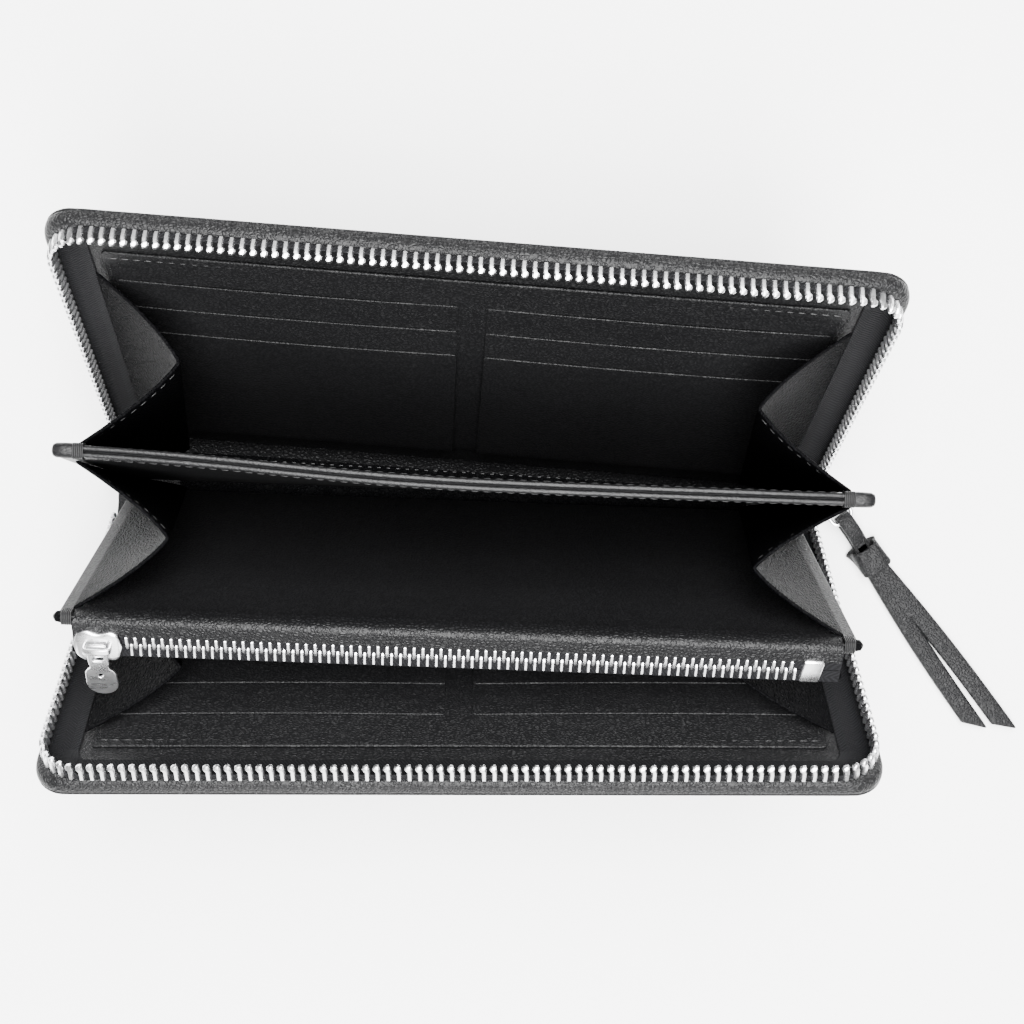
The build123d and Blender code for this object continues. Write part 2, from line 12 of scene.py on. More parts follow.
import bmesh
import bpy
import numpy as np
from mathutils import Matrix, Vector


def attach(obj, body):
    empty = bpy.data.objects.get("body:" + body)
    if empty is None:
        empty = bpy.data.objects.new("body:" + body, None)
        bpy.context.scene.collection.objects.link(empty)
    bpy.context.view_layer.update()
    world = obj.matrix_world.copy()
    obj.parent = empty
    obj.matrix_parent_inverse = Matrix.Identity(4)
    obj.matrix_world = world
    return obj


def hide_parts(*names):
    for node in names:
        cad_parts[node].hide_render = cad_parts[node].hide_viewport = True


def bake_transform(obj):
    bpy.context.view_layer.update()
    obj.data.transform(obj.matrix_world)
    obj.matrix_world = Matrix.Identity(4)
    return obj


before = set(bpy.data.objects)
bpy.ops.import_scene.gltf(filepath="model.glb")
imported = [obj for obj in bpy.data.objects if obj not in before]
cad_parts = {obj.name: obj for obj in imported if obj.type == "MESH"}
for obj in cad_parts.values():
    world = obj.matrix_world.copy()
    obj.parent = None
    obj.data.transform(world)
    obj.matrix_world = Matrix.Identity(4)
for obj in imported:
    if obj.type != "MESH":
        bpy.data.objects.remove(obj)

log = logging.getLogger("wallet")
Array = np.ndarray
MM = 0.001
EVEN = (1.0, 1.0, 1.0)  # a grain that is stretched in no direction
WAVE_BANDS = 20  # bands of the wave pattern in one unit of its coordinates

# Sizes that more than one piece shares
COVER_HALF = 97.5
POCKET_HALF = 91.0
BAND_HALF = 87.7
BAND_REACH = 8.6
TACK_TURNS = 6
TACK_PITCH = 0.42
TACK_RADIUS = 0.2


class Hand(Enum):
    """Which end of the wallet a piece is at; the value is the sign of x."""

    LEFT = -1
    RIGHT = 1


class Slot(Enum):
    """The record's material slots."""

    GRAINED = "grained_leather"
    LINING = "lining_leather"
    STRAP = "strap_leather"
    TAPE = "zip_tape"
    METAL = "nickel_metal"
    THREAD = "thread"
    TEXTILE = "pocket_textile"
    BOARD = "stiffener"


# ---------------------------------------------------------------- materials
def linear(hex_colour: str) -> tuple[float, float, float, float]:
    """Turns an sRGB hex colour into the linear colour a shader takes.

    Args:
        hex_colour: six hex digits after a hash sign.

    Returns:
        Linear red, green and blue, and an alpha of 1.
    """
    parts = [int(hex_colour[i:i + 2], 16) / 255 for i in (1, 3, 5)]
    bent = [c / 12.92 if c <= 0.04045 else ((c + 0.055) / 1.055) ** 2.4 for c in parts]
    return (*bent, 1.0)


def per_metre(size_mm: float) -> float:
    """Texture scale at which one cell is size_mm across, for coordinates in metres."""
    return 1000.0 / size_mm


def add_node(tree: bpy.types.NodeTree, kind: str, settings: Optional[dict] = None,
             inputs: Optional[dict] = None) -> bpy.types.Node:
    """Adds one shader node, with its settings and what feeds it.

    Args:
        tree: the material's node tree.
        kind: the node's type, without the leading "ShaderNode".
        settings: attribute names and their values.
        inputs: input names or places, each with a value or with the output socket that feeds it.

    Returns:
        The new node.
    """
    made = tree.nodes.new("ShaderNode" + kind)
    for key, value in (settings or {}).items():
        setattr(made, key, value)
    for key, value in (inputs or {}).items():
        if isinstance(value, bpy.types.NodeSocket):
            tree.links.new(value, made.inputs[key])
        else:
            made.inputs[key].default_value = value
    return made


def relief(tree: bpy.types.NodeTree, shader: bpy.types.Node, height: bpy.types.NodeSocket, strength: float,
           depth_mm: float) -> None:
    """Raises the shader's surface by a height pattern.

    Args:
        tree: the material's node tree.
        shader: the shader.
        height: the pattern.
        strength: share of the relief that shows.
        depth_mm: the relief's full height.
    """
    bump = add_node(tree, "Bump", None, {"Strength": strength, "Distance": depth_mm * MM, "Height": height})
    tree.links.new(bump.outputs[0], shader.inputs["Normal"])


@dataclass(frozen=True)
class Finish:
    """A named material; a subclass adds the nodes that give it its surface."""

    name: str
    colour: str
    roughness: float
    slot: Slot

    def material(self) -> bpy.types.Material:
        """Returns the material, which is made the first time it is asked for."""
        found = bpy.data.materials.get(self.name)
        if found:
            return found
        made = bpy.data.materials.new(self.name)
        made.use_nodes = True
        shader = made.node_tree.nodes["Principled BSDF"]
        shader.inputs["Base Color"].default_value = linear(self.colour)
        shader.inputs["Roughness"].default_value = self.roughness
        self.dress(made.node_tree, shader)
        return made

    def dress(self, tree: bpy.types.NodeTree, shader: bpy.types.Node) -> None:
        """Adds the surface's own nodes."""

    def tinted(self, tree: bpy.types.NodeTree, factor: bpy.types.NodeSocket,
               dark: float) -> bpy.types.NodeSocket:
        """Mixes the finish's colour with a darker one.

        Args:
            tree: the material's node tree.
            factor: 0 gives the darker colour and 1 the finish's own.
            dark: brightness of the darker colour, as a share.

        Returns:
            The colour output.
        """
        full = linear(self.colour)
        mix = add_node(tree, "Mix", {"data_type": "RGBA"},
                       {0: factor, 6: (*[c * dark for c in full[:3]], 1.0), 7: full})
        return mix.outputs[2]

    def ranged(self, tree: bpy.types.NodeTree, value: bpy.types.NodeSocket, low: float,
               high: float) -> bpy.types.NodeSocket:
        """Maps a 0 to 1 value to low to high."""
        return add_node(tree, "MapRange", None, {0: value, 3: low, 4: high}).outputs[0]


@dataclass(frozen=True)
class GrainedCalf(Finish):
    """Drum-dyed calf with a natural or boarded grain: rounded pebbles parted by fine creases, semi-matt.

    The pebbles catch a point of light each, and the colour is darkened in the creases as painted shade.
    """

    grain_mm: float = 1.0
    stretch: tuple[float, float, float] = EVEN
    depth_mm: float = 0.10
    shine: float = 0.3

    def dress(self, tree: bpy.types.NodeTree, shader: bpy.types.Node) -> None:
        """Pebbles: a cell pattern bent by noise; pores: fine noise; broad rub: slow noise in the gloss."""
        place = add_node(tree, "TexCoord").outputs["Object"]
        wander = add_node(tree, "TexNoise", None, {"Vector": place, "Scale": per_metre(self.grain_mm * 3.2),
                                                   "Detail": 2.0})
        centred = add_node(tree, "VectorMath", {"operation": "SUBTRACT"},
                           {0: wander.outputs["Color"], 1: (0.5, 0.5, 0.5)})
        bent = add_node(tree, "VectorMath", {"operation": "MULTIPLY_ADD"},
                        {0: centred.outputs[0], 1: (self.grain_mm * MM * 1.5,) * 3, 2: place})
        fitted = add_node(tree, "Mapping", None, {"Vector": bent.outputs[0], "Scale": self.stretch})
        cells = add_node(tree, "TexVoronoi", {"feature": "DISTANCE_TO_EDGE"},
                         {"Vector": fitted.outputs[0], "Scale": per_metre(self.grain_mm)})
        pebble = add_node(tree, "MapRange", {"interpolation_type": "SMOOTHSTEP"},
                          {0: cells.outputs["Distance"], 1: 0.0, 2: 0.34})
        pores = add_node(tree, "TexNoise", None, {"Vector": place, "Scale": per_metre(self.grain_mm * 0.35),
                                                  "Detail": 3.0})
        height = add_node(tree, "Math", {"operation": "MULTIPLY_ADD"},
                          {0: pores.outputs[0], 1: 0.35, 2: pebble.outputs[0]})
        relief(tree, shader, height.outputs[0], 0.85, self.depth_mm)
        rub = add_node(tree, "TexNoise", None, {"Vector": place, "Scale": per_metre(28.0), "Detail": 3.0})
        # Painted shade: the colour falls to 0.55 of the leather's own in the creases between the pebbles.
        tree.links.new(self.tinted(tree, pebble.outputs[0], 0.55), shader.inputs["Base Color"])
        tree.links.new(self.ranged(tree, rub.outputs[0], self.roughness - 0.07, self.roughness + 0.09),
                       shader.inputs["Roughness"])
        shader.inputs["IOR"].default_value = 1.5
        shader.inputs["Specular IOR Level"].default_value = self.shine


@dataclass(frozen=True)
class HerringboneTape(Finish):
    """Woven polyester zip tape. Its herringbone shows as slanted ribs that change side every few threads.

    The real ribs are 0.35 mm apart, and they are drawn a little coarser so that they show.
    """

    rib_mm: float = 0.85
    column_mm: float = 2.2

    def dress(self, tree: bpy.types.NodeTree, shader: bpy.types.Node) -> None:
        """Ribs: a sine of the length plus the zigzag of the distance across, both from the UV in mm."""
        uv = add_node(tree, "TexCoord").outputs["UV"]
        parts = add_node(tree, "SeparateXYZ", None, {0: uv})
        zigzag = add_node(tree, "Math", {"operation": "PINGPONG"}, {0: parts.outputs[1], 1: self.column_mm})
        slant = add_node(tree, "Math", {"operation": "MULTIPLY_ADD"},
                         {0: zigzag.outputs[0], 1: 0.8, 2: parts.outputs[0]})
        turns = add_node(tree, "Math", {"operation": "MULTIPLY"},
                         {0: slant.outputs[0], 1: 2 * math.pi / self.rib_mm})
        wave = add_node(tree, "Math", {"operation": "SINE"}, {0: turns.outputs[0]})
        rib = add_node(tree, "MapRange", None, {0: wave.outputs[0], 1: -1.0, 2: 1.0})
        relief(tree, shader, rib.outputs[0], 0.9, 0.09)
        # Painted shade: the colour falls to 0.35 of the tape's own in the grooves between the ribs.
        tree.links.new(self.tinted(tree, rib.outputs[0], 0.35), shader.inputs["Base Color"])
        shader.inputs["Specular IOR Level"].default_value = 0.08
        shader.inputs["Sheen Weight"].default_value = 0.02
        shader.inputs["Sheen Roughness"].default_value = 0.5


@dataclass(frozen=True)
class Twill(Finish):
    """Fine cotton twill of the coin pocket's bag: diagonal ribs, matt."""

    rib_mm: float = 0.5

    def dress(self, tree: bpy.types.NodeTree, shader: bpy.types.Node) -> None:
        """Ribs: a band pattern turned 45 degrees about the length."""
        place = add_node(tree, "TexCoord").outputs["Object"]
        turned = add_node(tree, "Mapping", None, {"Vector": place, "Rotation": (0.0, math.radians(45), 0.0)})
        ribs = add_node(tree, "TexWave", {"bands_direction": "X"},
                        {"Vector": turned.outputs[0], "Scale": per_metre(self.rib_mm) / WAVE_BANDS,
                         "Distortion": 0.4})
        relief(tree, shader, ribs.outputs[1], 0.6, 0.06)
        # Painted shade: the colour falls to half the twill's own in the grooves between the ribs.
        tree.links.new(self.tinted(tree, ribs.outputs[1], 0.5), shader.inputs["Base Color"])


@dataclass(frozen=True)
class NickelPlate(Finish):
    """Die-cast zinc, polished and nickel plated: bright, with hair-fine scuffs that soften the gloss."""

    scuff_mm: float = 1.6

    def dress(self, tree: bpy.types.NodeTree, shader: bpy.types.Node) -> None:
        """Scuffs: noise stretched along x, in the gloss and as a very shallow relief."""
        place = add_node(tree, "TexCoord").outputs["Object"]
        drawn = add_node(tree, "Mapping", None, {"Vector": place, "Scale": (0.25, 1.0, 1.0)})
        noise = add_node(tree, "TexNoise", None,
                         {"Vector": drawn.outputs[0], "Scale": per_metre(self.scuff_mm), "Detail": 5.0,
                          "Roughness": 0.65})
        relief(tree, shader, noise.outputs[0], 0.25, 0.02)
        tree.links.new(self.ranged(tree, noise.outputs[0], self.roughness - 0.06, self.roughness + 0.14),
                       shader.inputs["Roughness"])
        shader.inputs["Metallic"].default_value = 1.0


@dataclass(frozen=True)
class WaxedThread(Finish):
    """Twisted and waxed polyester thread: two plies wound round each other, with a low shine."""

    ply_mm: float = 0.45

    def dress(self, tree: bpy.types.NodeTree, shader: bpy.types.Node) -> None:
        """Plies: slanted bands, on coordinates turned 40 degrees."""
        place = add_node(tree, "TexCoord").outputs["Object"]
        turned = add_node(tree, "Mapping", None, {"Vector": place, "Rotation": (0.5, 0.7, 0.7)})
        plies = add_node(tree, "TexWave", None,
                         {"Vector": turned.outputs[0], "Scale": per_metre(self.ply_mm) / WAVE_BANDS})
        relief(tree, shader, plies.outputs[1], 0.6, 0.05)
        # Painted shade: the colour falls to 0.6 of the thread's own in the grooves between the plies.
        tree.links.new(self.tinted(tree, plies.outputs[1], 0.6), shader.inputs["Base Color"])


@dataclass(frozen=True)
class StudioPaper(Finish):
    """Matt white background paper under the wallet: almost even, with a trace of mottle."""

    def dress(self, tree: bpy.types.NodeTree, shader: bpy.types.Node) -> None:
        """Mottle: slow noise that barely changes the colour."""
        place = add_node(tree, "TexCoord").outputs["Object"]
        mottle = add_node(tree, "TexNoise", None, {"Vector": place, "Scale": per_metre(60.0)})
        tree.links.new(self.tinted(tree, mottle.outputs[0], 0.985), shader.inputs["Base Color"])


SHELL_CALF = GrainedCalf("pebbled_shell_calf", "#131314", 0.46, Slot.GRAINED, 1.05, EVEN, 0.2, 0.14)
EDGE_CALF = GrainedCalf("turned_edge_calf", "#111112", 0.4, Slot.GRAINED, 0.9, EVEN, 0.13, 0.18)
LINING_CALF = GrainedCalf("smooth_lining_calf", "#121213", 0.44, Slot.LINING, 0.8, (0.8, 1.2, 1.6), 0.1, 0.17)
# Painted shade: black calf darkened well below the shell's colour. It stands in for the shade on the gussets,
# the pocket's skirt and bound ends, and the floor lining, deep in the wallet's folds.
SHADE_DARKENED_CALF = GrainedCalf("boarded_calf_painted_shade", "#060607", 0.52, Slot.LINING, 1.0, (1.2, 1.0, 0.5), 0.22,
                          0.02)
STRAP_CALF = GrainedCalf("strap_calf", "#121213", 0.44, Slot.STRAP, 0.85, EVEN, 0.15, 0.14)
TAPE = HerringboneTape("woven_zip_tape", "#111113", 0.7, Slot.TAPE)
RIDGE_CALF = GrainedCalf("rolled_ridge_calf", "#101011", 0.38, Slot.LINING, 0.6, (0.5, 1.0, 1.0), 0.04, 0.2)
BAG = Twill("pocket_twill", "#151517", 0.85, Slot.TEXTILE)
NICKEL = NickelPlate("polished_nickel_plate", "#f0f0f1", 0.24, Slot.METAL)
THREAD = WaxedThread("waxed_black_thread", "#0c0c0d", 0.5, Slot.THREAD)
PAPER = StudioPaper("studio_background_paper", "#f4f4f4", 0.95, Slot.BOARD)


# ---------------------------------------------------------------- surfaces
@dataclass
class Surface:
    """Points in mm, faces as rows of point numbers, and a flat place in mm for each point."""

    points: Array
    faces: list
    flat: Array

    @staticmethod
    def joined(parts: Sequence["Surface"]) -> "Surface":
        """Puts several surfaces into one.

        Args:
            parts: the surfaces.

        Returns:
            One surface with all their points and faces.
        """
        starts = np.cumsum([0] + [len(p.points) for p in parts])
        faces = [[i + start for i in face] for p, start in zip(parts, starts) for face in p.faces]
        points = np.concatenate([p.points for p in parts])
        return Surface(points, faces, np.concatenate([p.flat for p in parts]))


def quads(numbers: Array, wrap_rows: bool = False, wrap_columns: bool = False) -> Array:
    """Faces between neighbours of a grid of point numbers.

    Args:
        numbers: the grid, rows by columns.
        wrap_rows: also join the last row to the first.
        wrap_columns: also join the last column to the first.

    Returns:
        Four point numbers for each face.
    """
    if wrap_rows:
        numbers = np.vstack((numbers, numbers[:1]))
    if wrap_columns:
        numbers = np.hstack((numbers, numbers[:, :1]))
    corners = (numbers[:-1, :-1], numbers[1:, :-1], numbers[1:, 1:], numbers[:-1, 1:])
    return np.stack(corners, -1).reshape(-1, 4)


def run_lengths(points: Array) -> Array:
    """Length along a row of points, up to each of them."""
    steps = np.linalg.norm(np.diff(points, axis=0), axis=1)
    return np.concatenate(([0.0], np.cumsum(steps)))


def rounding(distance: Array, rim: float) -> Array:
    """Share of the full thickness at a distance from the rim: a quarter circle, and 1 past its width."""
    near = 1 - np.clip(distance / rim, 0, 1)
    return np.sqrt(np.clip(1 - near ** 2, 0, 1))


def stations(low: float, high: float, count: int, rim: float) -> Array:
    """Positions from low to high that crowd together within rim of both ends.

    Args:
        low: first position.
        high: last position.
        count: how many evenly spaced ones lie between the two rims, ends included.
        rim: width of the crowded part.

    Returns:
        The positions.
    """
    steps = np.array([0.0, 0.05, 0.18, 0.4, 0.7]) * rim
    return np.concatenate((low + steps, np.linspace(low + rim, high - rim, count), high - steps[::-1]))


def unit(vectors: Array) -> Array:
    """Vectors scaled to length 1."""
    return vectors / np.maximum(np.linalg.norm(vectors, axis=-1, keepdims=True), 1e-12)


def closed_sheet(middle: Array, share: Array, thickness: float) -> Surface:
    """A sheet with a rounded rim: middle plus and minus its normal times half the thickness times the share.

    The normal is the cross product of the grid's two directions. The share is 0 on the rim, so the two
    sides meet there, and they use the same points.

    Args:
        middle: the middle surface, rows by columns by 3.
        share: share of the full thickness, rows by columns.
        thickness: full thickness.

    Returns:
        The closed sheet.
    """
    rows, columns = share.shape
    across, along = np.gradient(middle, axis=0), np.gradient(middle, axis=1)
    lift = unit(np.cross(across, along)) * (share * thickness / 2)[..., None]
    front = np.arange(rows * columns).reshape(rows, columns)
    inside = np.zeros((rows, columns), bool)
    inside[1:-1, 1:-1] = True
    back = front.copy()
    back[inside] = rows * columns + np.arange(inside.sum())
    flat = np.stack((np.cumsum(np.linalg.norm(along, axis=-1), 1),
                     np.cumsum(np.linalg.norm(across, axis=-1), 0)), -1)
    points = np.concatenate(((middle + lift).reshape(-1, 3), (middle - lift)[inside]))
    faces = np.concatenate((quads(front), quads(back)[:, ::-1]))
    return Surface(points, faces.tolist(), np.concatenate((flat.reshape(-1, 2), flat[inside])))


def rimmed(share: Array) -> Array:
    """A sheet's share with its outermost rows and columns set to 0, where its two sides meet."""
    share[[0, -1]] = 0
    share[:, [0, -1]] = 0
    return share


def even_sheet(middle: Array, thickness: float) -> Surface:
    """A sheet that keeps its full thickness up to its rim."""
    return closed_sheet(middle, rimmed(np.ones(middle.shape[:2])), thickness)


def loft(sections: Array, wrap: bool = False) -> Surface:
    """Closed rings of points joined one to the next, with a face over each end unless the rings go round.

    Args:
        sections: rings by points by 3.
        wrap: join the last ring to the first, in place of the end faces.

    Returns:
        The closed surface.
    """
    rings, around = sections.shape[:2]
    numbers = np.arange(rings * around).reshape(rings, around)
    faces = quads(numbers, wrap_rows=wrap, wrap_columns=True).tolist()
    if not wrap:
        faces += [numbers[0].tolist(), numbers[-1, ::-1].tolist()]
    along = run_lengths(sections.mean(1))
    across = run_lengths(sections[0])
    flat = np.stack(np.meshgrid(along, across, indexing="ij"), -1)
    return Surface(sections.reshape(-1, 3), faces, flat.reshape(-1, 2))


def swelled(x: Array, size: Array, ring: Array, y: Array, z: Array) -> Surface:
    """A block along x: a profile about a middle line, scaled at each section.

    Args:
        x: where the sections are.
        size: the profile's scale at each of them.
        ring: the profile, in y and z.
        y: the middle line's y, one value or one for each section.
        z: the middle line's z.

    Returns:
        The closed block.
    """
    scaled = size[:, None, None] * ring
    return loft(np.stack(np.broadcast_arrays(x[:, None], y + scaled[..., 0], z + scaled[..., 1]), -1))


def carried(profile: Array, places: Array, across: Array, up: Array, wrap: bool = False) -> Surface:
    """A closed profile carried along a path: place plus across and up times the profile's two values.

    Args:
        profile: the section's points, each an (across, up) pair.
        places: the path's points.
        across: one direction of the section at each of them.
        up: the other direction.
        wrap: the path is closed.

    Returns:
        The closed surface.
    """
    sections = (places[:, None] + across[:, None] * profile[None, :, :1] + up[:, None] * profile[None, :, 1:])
    return loft(sections, wrap)


def circle(radius: float, sides: int) -> Array:
    """A round profile: radius times (cosine, sine) of equal steps."""
    turn = np.arange(sides) * 2 * math.pi / sides
    return radius * np.stack((np.cos(turn), np.sin(turn)), -1)


def soft_box(width: float, height: float, corner: float, steps: int = 3) -> Array:
    """A rectangle with rounded corners as a profile: four quarter circles of the corner's radius.

    Args:
        width: full width.
        height: full height.
        corner: radius of the corners.
        steps: points in each corner.

    Returns:
        The profile's points.
    """
    turn = np.linspace(0, math.pi / 2, steps)[None] + (np.arange(4) * math.pi / 2)[:, None]
    signs = np.array([(1, 1), (-1, 1), (-1, -1), (1, -1)], float)
    centres = signs * (width / 2 - corner, height / 2 - corner)
    return (centres[:, None] + corner * np.stack((np.cos(turn), np.sin(turn)), -1)).reshape(-1, 2)


def along_path(path: Array, up: Array, wrap: bool = False) -> tuple[Array, Array]:
    """Section directions for a path whose sections keep one given up direction.

    Args:
        path: the points.
        up: one direction for all points, or one for each.
        wrap: the path is closed.

    Returns:
        The across and up directions at each point.
    """
    ahead = np.roll(path, -1, 0) - np.roll(path, 1, 0) if wrap else np.gradient(path, axis=0)
    across = unit(np.cross(ahead, np.broadcast_to(up, path.shape)))
    return across, unit(np.cross(across, ahead))


def thread_loop(path: Array) -> Surface:
    """One turn of thread: a thin round wire along a closed path that lies square to x."""
    across, up = along_path(path, np.array([1.0, 0, 0]), wrap=True)
    return carried(circle(TACK_RADIUS, 6), path, across, up, wrap=True)


def copies(base: Surface, places: Array, axes: Array) -> Surface:
    """Copies of a small surface: place plus the sum of its three values times the place's three axes.

    Args:
        base: the small surface, in its own axes.
        places: where each copy goes, copies by 3.
        axes: the three axes of each copy, copies by 3 by 3.

    Returns:
        All the copies in one surface.
    """
    points = places[:, None] + np.einsum("pa,cak->cpk", base.points, axes)
    size = len(base.points)
    faces = [[i + c * size for i in face] for c in range(len(places)) for face in base.faces]
    return Surface(points.reshape(-1, 3), faces, np.tile(base.flat, (len(places), 1)))


def turned(points: Array, pivot: Sequence[float], axis: Sequence[float], degrees: float) -> Array:
    """Points turned about a line, by Rodrigues' formula.

    Args:
        points: any number of points, the last dimension being x, y, z.
        pivot: a point of the line.
        axis: its direction.
        degrees: the turn.

    Returns:
        The turned points.
    """
    n = unit(np.asarray(axis, float))
    c, s = math.cos(math.radians(degrees)), math.sin(math.radians(degrees))
    p = points - np.asarray(pivot, float)
    moved = p * c + np.cross(n, p) * s + n * (p @ n)[..., None] * (1 - c)
    return moved + np.asarray(pivot, float)


# ---------------------------------------------------------------- leaves
@dataclass(frozen=True)
class Leaf:
    """A stiff leaf, drawn upright and swung about its hinge line. n is the height above its face."""

    face: float
    side: int
    pivot: tuple[float, float, float]
    axis: tuple[float, float, float]
    lean: float

    def place(self, x: Array, z: Array, n: Array) -> Array:
        """Where a point of the leaf is at rest.

        Args:
            x: along the length.
            z: height when closed.
            n: height above the leaf's face.

        Returns:
            The points, with one more dimension for x, y, z.
        """
        x, z, n = np.broadcast_arrays(np.asarray(x, float), z, n)
        return turned(np.stack((x, self.face - self.side * n, z), -1), self.pivot, self.axis, self.lean)

    def outward(self) -> Array:
        """The direction of n at rest."""
        return self.place(0, 0, 1) - self.place(0, 0, 0)

    def upward(self) -> Array:
        """The direction of z at rest."""
        return self.place(0, 1, 0) - self.place(0, 0, 0)


def fan(degrees: float) -> tuple[float, float, float]:
    """A hinge line's direction, tilted out of level in the XZ plane."""
    return (math.cos(math.radians(degrees)), 0.0, math.sin(math.radians(degrees)))


HINGE_Y, HINGE_Z = 9.25, 5.0
REAR = Leaf(8.3, 1, (0, HINGE_Y, HINGE_Z), fan(5.5), -27.5)
FRONT = Leaf(-8.3, -1, (0, -HINGE_Y, HINGE_Z), fan(3.5), 37.3)
POCKET = Leaf(-0.9, 1, (0, -HINGE_Y, HINGE_Z), (1, 0, 0), 21.5)
BAND_FOLD = (0, -3.0, 88.0)  # a point of the band's fold line
BAND_DROP = 12.0  # degrees below level


def band_place(x: Array, s: Array, h: Array) -> Array:
    """Where a point of the coin zip's band is at rest: drawn level, dropped, and carried by the pocket.

    Args:
        x: along the length.
        s: distance forward of the band's fold line.
        h: height above the band.

    Returns:
        The points.
    """
    x, s, h = np.broadcast_arrays(np.asarray(x, float), s, h)
    points = np.stack((x, BAND_FOLD[1] - s, BAND_FOLD[2] + h), -1)
    return turned(turned(points, BAND_FOLD, (1, 0, 0), BAND_DROP), POCKET.pivot, POCKET.axis, POCKET.lean)


def row_half(z: Array, half: float, top: float, corner: float) -> Array:
    """Half the width of a leaf at each height: less the corner, plus the reach of its arc."""
    over = np.clip(z - (top - corner), 0, corner)
    return half - corner + np.sqrt(np.clip(corner ** 2 - over ** 2, 0, None))


def outline_gap(x: Array, z: Array, half: float, top: float, corner: float, foot: float = -math.inf) -> Array:
    """Distance from points of a leaf to its outline.

    Args:
        x: along the length, from the middle.
        z: height.
        half: half the leaf's width.
        top: its highest height.
        corner: radius of its two top corners.
        foot: its lowest height; without one the leaf has no edge there.

    Returns:
        The distances.
    """
    in_corner = (np.abs(x) > half - corner) & (z > top - corner)
    arc_gap = corner - np.hypot(np.abs(x) - (half - corner), z - (top - corner))
    edge_gap = np.minimum(np.minimum(half - np.abs(x), top - z), z - foot)
    return np.where(in_corner, np.minimum(arc_gap, edge_gap), edge_gap)


def leaf_sheet(leaf: Leaf, x_range: tuple[float, float], z_range: tuple[float, float], n_middle: float,
               thickness: float, corner: float = 1.0, bulge: float = 0.0, rim: float = 0.0) -> Surface:
    """A flat leather sheet on a leaf, with its two top corners rounded.

    A row ends where the corner's arc is. The bulge lifts the top edge's middle.

    Args:
        leaf: the leaf that it lies on.
        x_range: its two ends.
        z_range: its foot and its top.
        n_middle: height of its middle surface above the leaf's face.
        thickness: full thickness.
        corner: radius of the top corners.
        bulge: how far the middle of its top edge stands out.
        rim: width of the rounded rim; 0 means half the thickness.

    Returns:
        The closed sheet.
    """
    rim = rim or thickness / 2
    foot, top = z_range
    middle, half = sum(x_range) / 2, (x_range[1] - x_range[0]) / 2
    arc = top - corner * (1 - np.cos(np.linspace(0, math.pi / 2, 9)[1:-1]))
    z = np.unique(np.concatenate((stations(foot, top, 22, rim), arc)))[:, None]
    x_unit = stations(-half, half, max(12, int(half / 2)), rim)[None] / half
    x = x_unit * row_half(z, half, top, corner)
    share = rimmed(rounding(np.clip(outline_gap(x, z, half, top, corner, foot), 0, None), rim))
    fade = np.clip((z - foot) / (top - foot), 0, 1) ** 3
    lift = bulge * fade * (1 - (x / half) ** 2)
    return closed_sheet(leaf.place(x + middle, z + 0 * x, n_middle + lift), share, thickness)


def arch(half: float, foot: float, top: float, corner: float) -> Array:
    """A path up the left side, round both top corners and down the right side, with a fixed count of points.

    Args:
        half: half the width.
        foot: lowest height.
        top: highest height.
        corner: radius of the corners.

    Returns:
        (x, z) pairs.
    """
    side = np.stack((np.full(30, -half), np.linspace(foot, top - corner, 30)), -1)[:-1]
    turn = np.linspace(0, math.pi / 2, 17)
    bend = np.stack((-half + corner - corner * np.cos(turn), top - corner + corner * np.sin(turn)), -1)
    level = np.stack((np.linspace(-half + corner, 0, 40), np.full(40, top)), -1)[1:]
    left = np.concatenate((side, bend, level))
    return np.concatenate((left, left[-2::-1] * (-1, 1)))


# ---------------------------------------------------------------- making pieces
def make(name: str, surface: Surface, finish: Finish, body: Optional[str] = None,
         stands_for: Iterable[str] = (), sharp: float = 38.0) -> bpy.types.Object:
    """Makes one piece of the wallet from a surface in mm.

    Args:
        name: the piece's name.
        surface: its surface.
        finish: its material.
        body: the CAD body that it moves with, or None for a piece that moves with no body.
        stands_for: the CAD nodes that it is shown in place of.
        sharp: edges steeper than this many degrees stay sharp.

    Returns:
        The piece.
    """
    mesh = bpy.data.meshes.new(name)
    mesh.from_pydata((surface.points * MM).tolist(), [], surface.faces)
    corners = np.zeros(len(mesh.loops), np.int32)
    mesh.loops.foreach_get("vertex_index", corners)
    layer = mesh.uv_layers.new(name="UVMap")
    layer.data.foreach_set("uv", surface.flat[corners].astype(np.float32).ravel())
    work = bmesh.new()
    work.from_mesh(mesh)
    bmesh.ops.recalc_face_normals(work, faces=work.faces)
    work.to_mesh(mesh)
    work.free()
    mesh.polygons.foreach_set("use_smooth", np.ones(len(mesh.polygons), bool))
    mesh.set_sharp_from_angle(angle=math.radians(sharp))
    mesh.materials.append(finish.material())
    piece = bpy.data.objects.new(name, mesh)
    bpy.context.scene.collection.objects.link(piece)
    if body:
        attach(piece, body)
    if stands_for:
        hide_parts(*stands_for)
    log.info("%s: %d faces", name, len(mesh.polygons))
    return piece


def bend_between(piece: bpy.types.Object, bodies: tuple[str, str], start: Array, end: Array) -> None:
    """Bakes the piece's place into its mesh."""
    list(bodies)
    tuple(np.asarray(start) * MM)
    tuple(np.asarray(end) * MM)
    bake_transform(piece)


def dress_cad(names: Iterable[str], finish: Finish) -> None:
    """Gives CAD nodes that stay as they are a material, in place of their plain one."""
    for name in names:
        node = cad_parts[name]
        node.data.materials.clear()
        node.data.materials.append(finish.material())
        log.info("%s keeps its shape", name)


